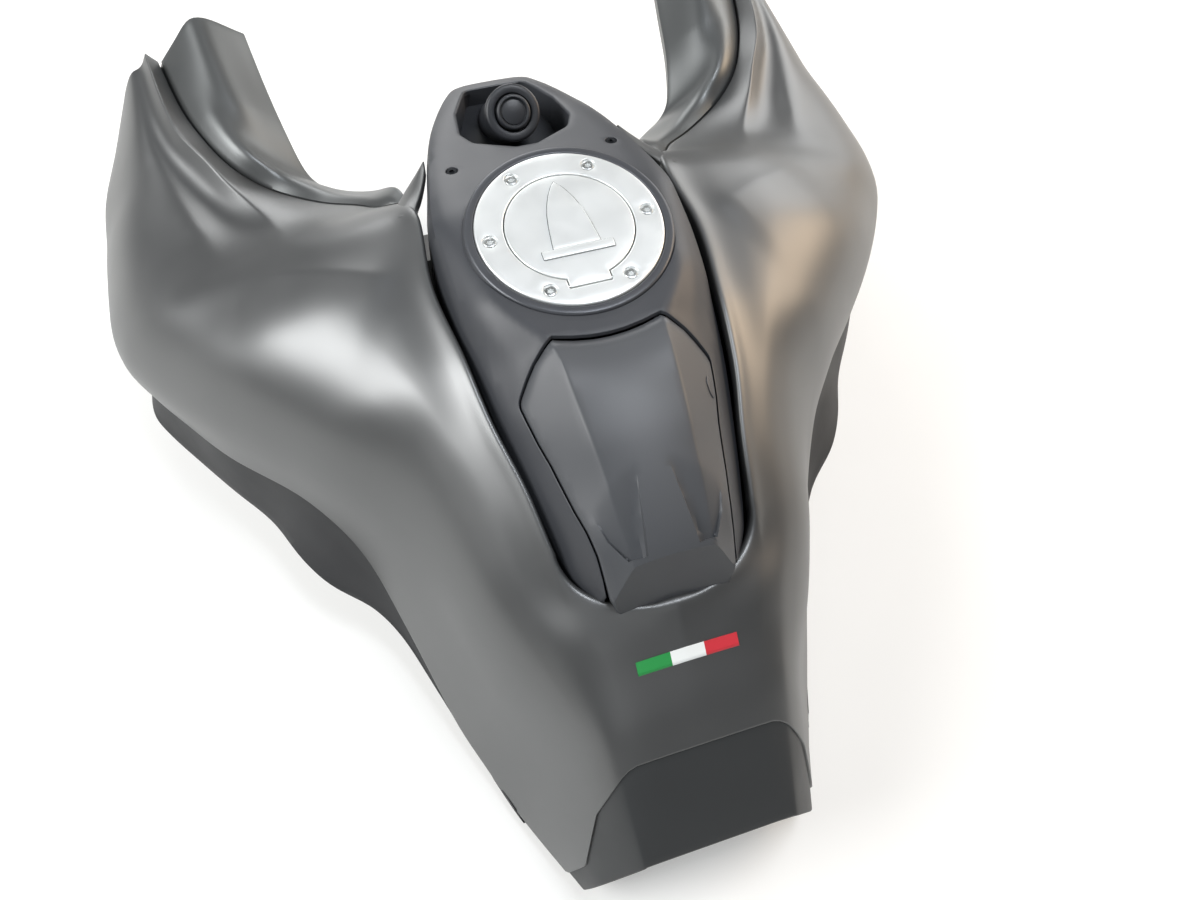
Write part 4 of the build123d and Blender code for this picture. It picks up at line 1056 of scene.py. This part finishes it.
# Lower side trims: they come out from under the cover's hem, with a louvred air mouth.
sideTrim = {
    # x, outer edge (y, z), foot (y, z)
    "stations": [(-332, 128, -316, 112, -326), (-290, 142, -313, 124, -324), (-250, 157, -310, 136, -323),
                 (-205, 172, -292, 142, -322), (-165, 186, -276, 150, -320), (-135, 204, -268, 160, -318),
                 (-110, 232, -262, 176, -316), (-80, 251, -258, 196, -315), (-45, 266, -256, 214, -315),
                 (-3, 295, -258, 240, -318), (40, 323, -262, 272, -321), (67, 340, -264, 296, -323),
                 (96, 354, -270, 320, -325), (130, 359, -286, 338, -327), (180, 361, -304, 346, -329),
                 (250, 360, -309, 346, -330)],
    "mouth": (-6.0, 84.0), "blades": 4, "bladeOuter": (2.0, 1.0), "bladeInner": (-14.0, -5.0),
    "bladeThick": 1.6, "step": 4.0, "even": 7.0, "wall": 1.8,
    # Rings of the section as offsets (y, z): under the hem, on the outer edge, and its last one turned in.
    "tucked": [(-6.0, 10.0), (-3.2, 2.0), (-2.0, -3.0)], "edge": [(0, 1.5), (-0.6, -1.6), (-3.0, -5.0)],
}


def buildSideTrim():
    at, rows = flowing([s[0] for s in sideTrim["stations"]], [s[1:] for s in sideTrim["stations"]],
                       sideTrim["step"], sideTrim["even"])
    hem = coverPoints(at, np.full(len(at), 7.0))[:, 1:]
    outer, foot = rows[:, :2], rows[:, 2:]
    rings = [hem + offset for offset in sideTrim["tucked"]]
    for share in (0.3, 0.6, 0.85):
        rings.append(hem * (1 - share) + outer * share + (-2.0 * (1 - share), -3.0 * (1 - share)))
    rings += [outer + offset for offset in sideTrim["edge"]]
    start, turned = len(rings), rings[-1]
    rings += [turned * (1 - share) + foot * share for share in (0.15, 0.4, 0.65, 0.9, 1.0)]
    grid = np.stack([np.column_stack([at, ring]) for ring in rings], 1)
    count = grid.shape[1]
    low, high = sideTrim["mouth"]
    faces = [face for face in gridFaces(len(at), count)
             if not (low < at[face[0] // count] < high and start <= face[0] % count < start + 3)]
    parts = [(grid.reshape(-1, 3), faces)]
    within = (at > low - 6) & (at < high + 6)
    span, a, b = at[within], turned[within], foot[within]
    outerY, outerZ = sideTrim["bladeOuter"]
    innerY, innerZ = sideTrim["bladeInner"]
    thick = sideTrim["bladeThick"]
    corners = [(outerY, outerZ), (outerY, outerZ - thick), (innerY, innerZ - thick), (innerY, innerZ)]
    for blade in range(sideTrim["blades"]):
        share = 0.2 + 0.6 * (blade + 0.5) / sideTrim["blades"]
        middle = a * (1 - share) + b * share
        loop = np.stack([np.column_stack([span, middle + c]) for c in corners + corners[:1]], 1)
        parts.append(gridPart(loop))
    return joinedParts(parts)


points, faces = buildSideTrim()
for side, word in ((1, "left"), (-1, "right")):
    part = points * (1, side, 1), [face[::side] for face in faces]
    shown("side_trim_skin_" + word, part, "side_plastic", "side_trim_" + word, outwards=True,
          wall=sideTrim["wall"])
report("side trims")

# The cover's horn, a narrow strip that runs on beside the spine to a point.
horn = {
    # inner edge (x, y, z), outer edge (x, y, z)
    "rows": [(66, 96.0, -35.0, 66, 108, -36.4), (74, 93.8, -36.8, 74, 108, -40),
             (81, 90.6, -38.2, 82, 106.5, -44), (88, 87.6, -39.0, 92, 102, -48),
             (96, 84.7, -40.2, 100, 97, -49.6), (106, 81.3, -41.8, 108, 90, -48.4),
             (114, 78.9, -43, 115, 83.5, -46.5), (120, 77.2, -44.2, 120.4, 78.6, -45)],
    "step": 0.125, "even": 0.3, "columns": 6, "edge": 1.2, "wall": 7.0, "crown": 1.2,
}


def buildHorn():
    table = np.array(horn["rows"], float)
    rows = flowing(np.arange(len(table)), table, horn["step"], horn["even"])[1]
    t = np.linspace(0, 1, horn["columns"])[None, :, None]
    grid = rows[:, None, :3] * (1 - t) + rows[:, None, 3:] * t
    grid[..., 2] += horn["crown"] * np.sin(math.pi * t[..., 0])
    normal = upNormals(grid, 4, 3)
    inner, outer = (turnedDown(grid, normal, column, horn["edge"], horn["wall"]) for column in (0, -1))
    return np.concatenate([np.stack(inner[::-1], 1), grid, np.stack(outer, 1)], 1)


shownPair("cover_horn_", buildHorn(), "cover_paint", None, 50)
report("horn")

# Finishes of the CAD nodes that stay in view.
for entry in frame["record"]["subparts"]:
    slotName = entry["material_slot"]
    if slotName in finishes and entry["node"] in nodes:
        nodes[entry["node"]].data.materials.clear()
        nodes[entry["node"]].data.materials.append(finishes[slotName])

# Floor, light and camera, in metres.
studio = {"reach": 6.0, "gap": 0.002, "floor": "#c9c9c7", "glow": "#f2f2f0", "glowStrength": 0.4,
          "sky": "#c9ced2", "skyStrength": 0.24}
low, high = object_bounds()
floorMesh = bpy.data.meshes.new("floor")
reach = studio["reach"]
square = ((-reach, -reach), (reach, -reach), (reach, reach), (-reach, reach))
floorMesh.from_pydata([(x, y, low.z - studio["gap"]) for x, y in square], [], [(0, 1, 2, 3)])
floor = linked("floor", floorMesh)
paleFloor = finish("PaleFloor", studio["floor"], studio["floor"], 0.85, 0.0)
# A faint glow keeps the far floor pale where the lamps don't reach.
glow = paleFloor.node_tree.nodes["Principled BSDF"].inputs
glow["Emission Color"].default_value = linear(studio["glow"])
glow["Emission Strength"].default_value = studio["glowStrength"]
floorMesh.materials.append(paleFloor)

world = bpy.data.worlds.new("studio")
scene.world = world
world.use_nodes = True
tree = world.node_tree
base = tree.nodes["Background"]
base.inputs["Color"].default_value = linear(studio["sky"])
base.inputs["Strength"].default_value = studio["skyStrength"]
white = addNode(tree, "ShaderNodeBackground", {"Color": (1, 1, 1, 1), "Strength": 1.0})
seen = addNode(tree, "ShaderNodeLightPath")
mixed = addNode(tree, "ShaderNodeMixShader", {0: seen.outputs["Is Camera Ray"], 1: base.outputs[0],
                                              2: white.outputs[0]})
tree.links.new(mixed.outputs[0], tree.nodes["World Output"].inputs["Surface"])

# Each lamp's place and aim in metres, its size, power and colour.
lamps = {
    "highLeft": ((0.55, 1.65, 1.5), (0.3, 0.1, 0.15), 1.1, 50, "#ffffff"),
    "overhead": ((0.3, -0.45, 2.1), (0.2, 0.0, 0.1), 0.7, 24, "#f4f8ff"),
    "lowFront": ((2.3, 0.0, 0.75), (0.2, 0.0, 0.15), 1.0, 16, "#ffffff"),
    "lowFrontRight": ((1.6, -1.6, 0.8), (0.2, 0.0, 0.15), 1.0, 14, "#ffffff"),
    "warmRight": ((0.6, -2.0, 0.95), (0.3, -0.2, 0.15), 1.0, 24, "#ffe3c4"),
    "rearLeft": ((-1.8, 0.6, 1.6), (0.1, 0.0, 0.1), 1.3, 4, "#ffffff"),
}
for name, (spot, aim, size, power, colour) in lamps.items():
    lamp = bpy.data.lights.new(name, "AREA")
    lamp.energy, lamp.size, lamp.color = power, size, linear(colour)[:3]
    holder = bpy.data.objects.new(name, lamp)
    scene.collection.objects.link(holder)
    holder.location = spot
    holder.rotation_mode = "QUATERNION"
    holder.rotation_quaternion = (Vector(aim) - Vector(spot)).to_track_quat("-Z", "Y")

# The photograph's camera; its place and axes were solved before, and are in millimetres like the tables.
viewpoint = {"place": (-387.2, 137.4, 494.5), "right": (-0.305, -0.95, 0.067), "back": (-0.399, 0.191, 0.897),
             "lens": 27.603, "sensor": 36.0}
camera = bpy.data.cameras.new("camera")
camera.sensor_width, camera.lens, camera.clip_start = viewpoint["sensor"], viewpoint["lens"], 0.01
cameraObject = bpy.data.objects.new("camera", camera)
scene.collection.objects.link(cameraObject)
back = Vector(viewpoint["back"]).normalized()
right = Vector(viewpoint["right"])
right = (right - back * right.dot(back)).normalized()
up = back.cross(right)
turnMatrix = Matrix((right, up, back)).transposed().to_4x4()
cameraObject.matrix_world = Matrix.Translation(placed(viewpoint["place"])) @ turnMatrix
scene.camera = cameraObject
scene.view_settings.view_transform = "Standard"

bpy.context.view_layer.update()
report("ready")
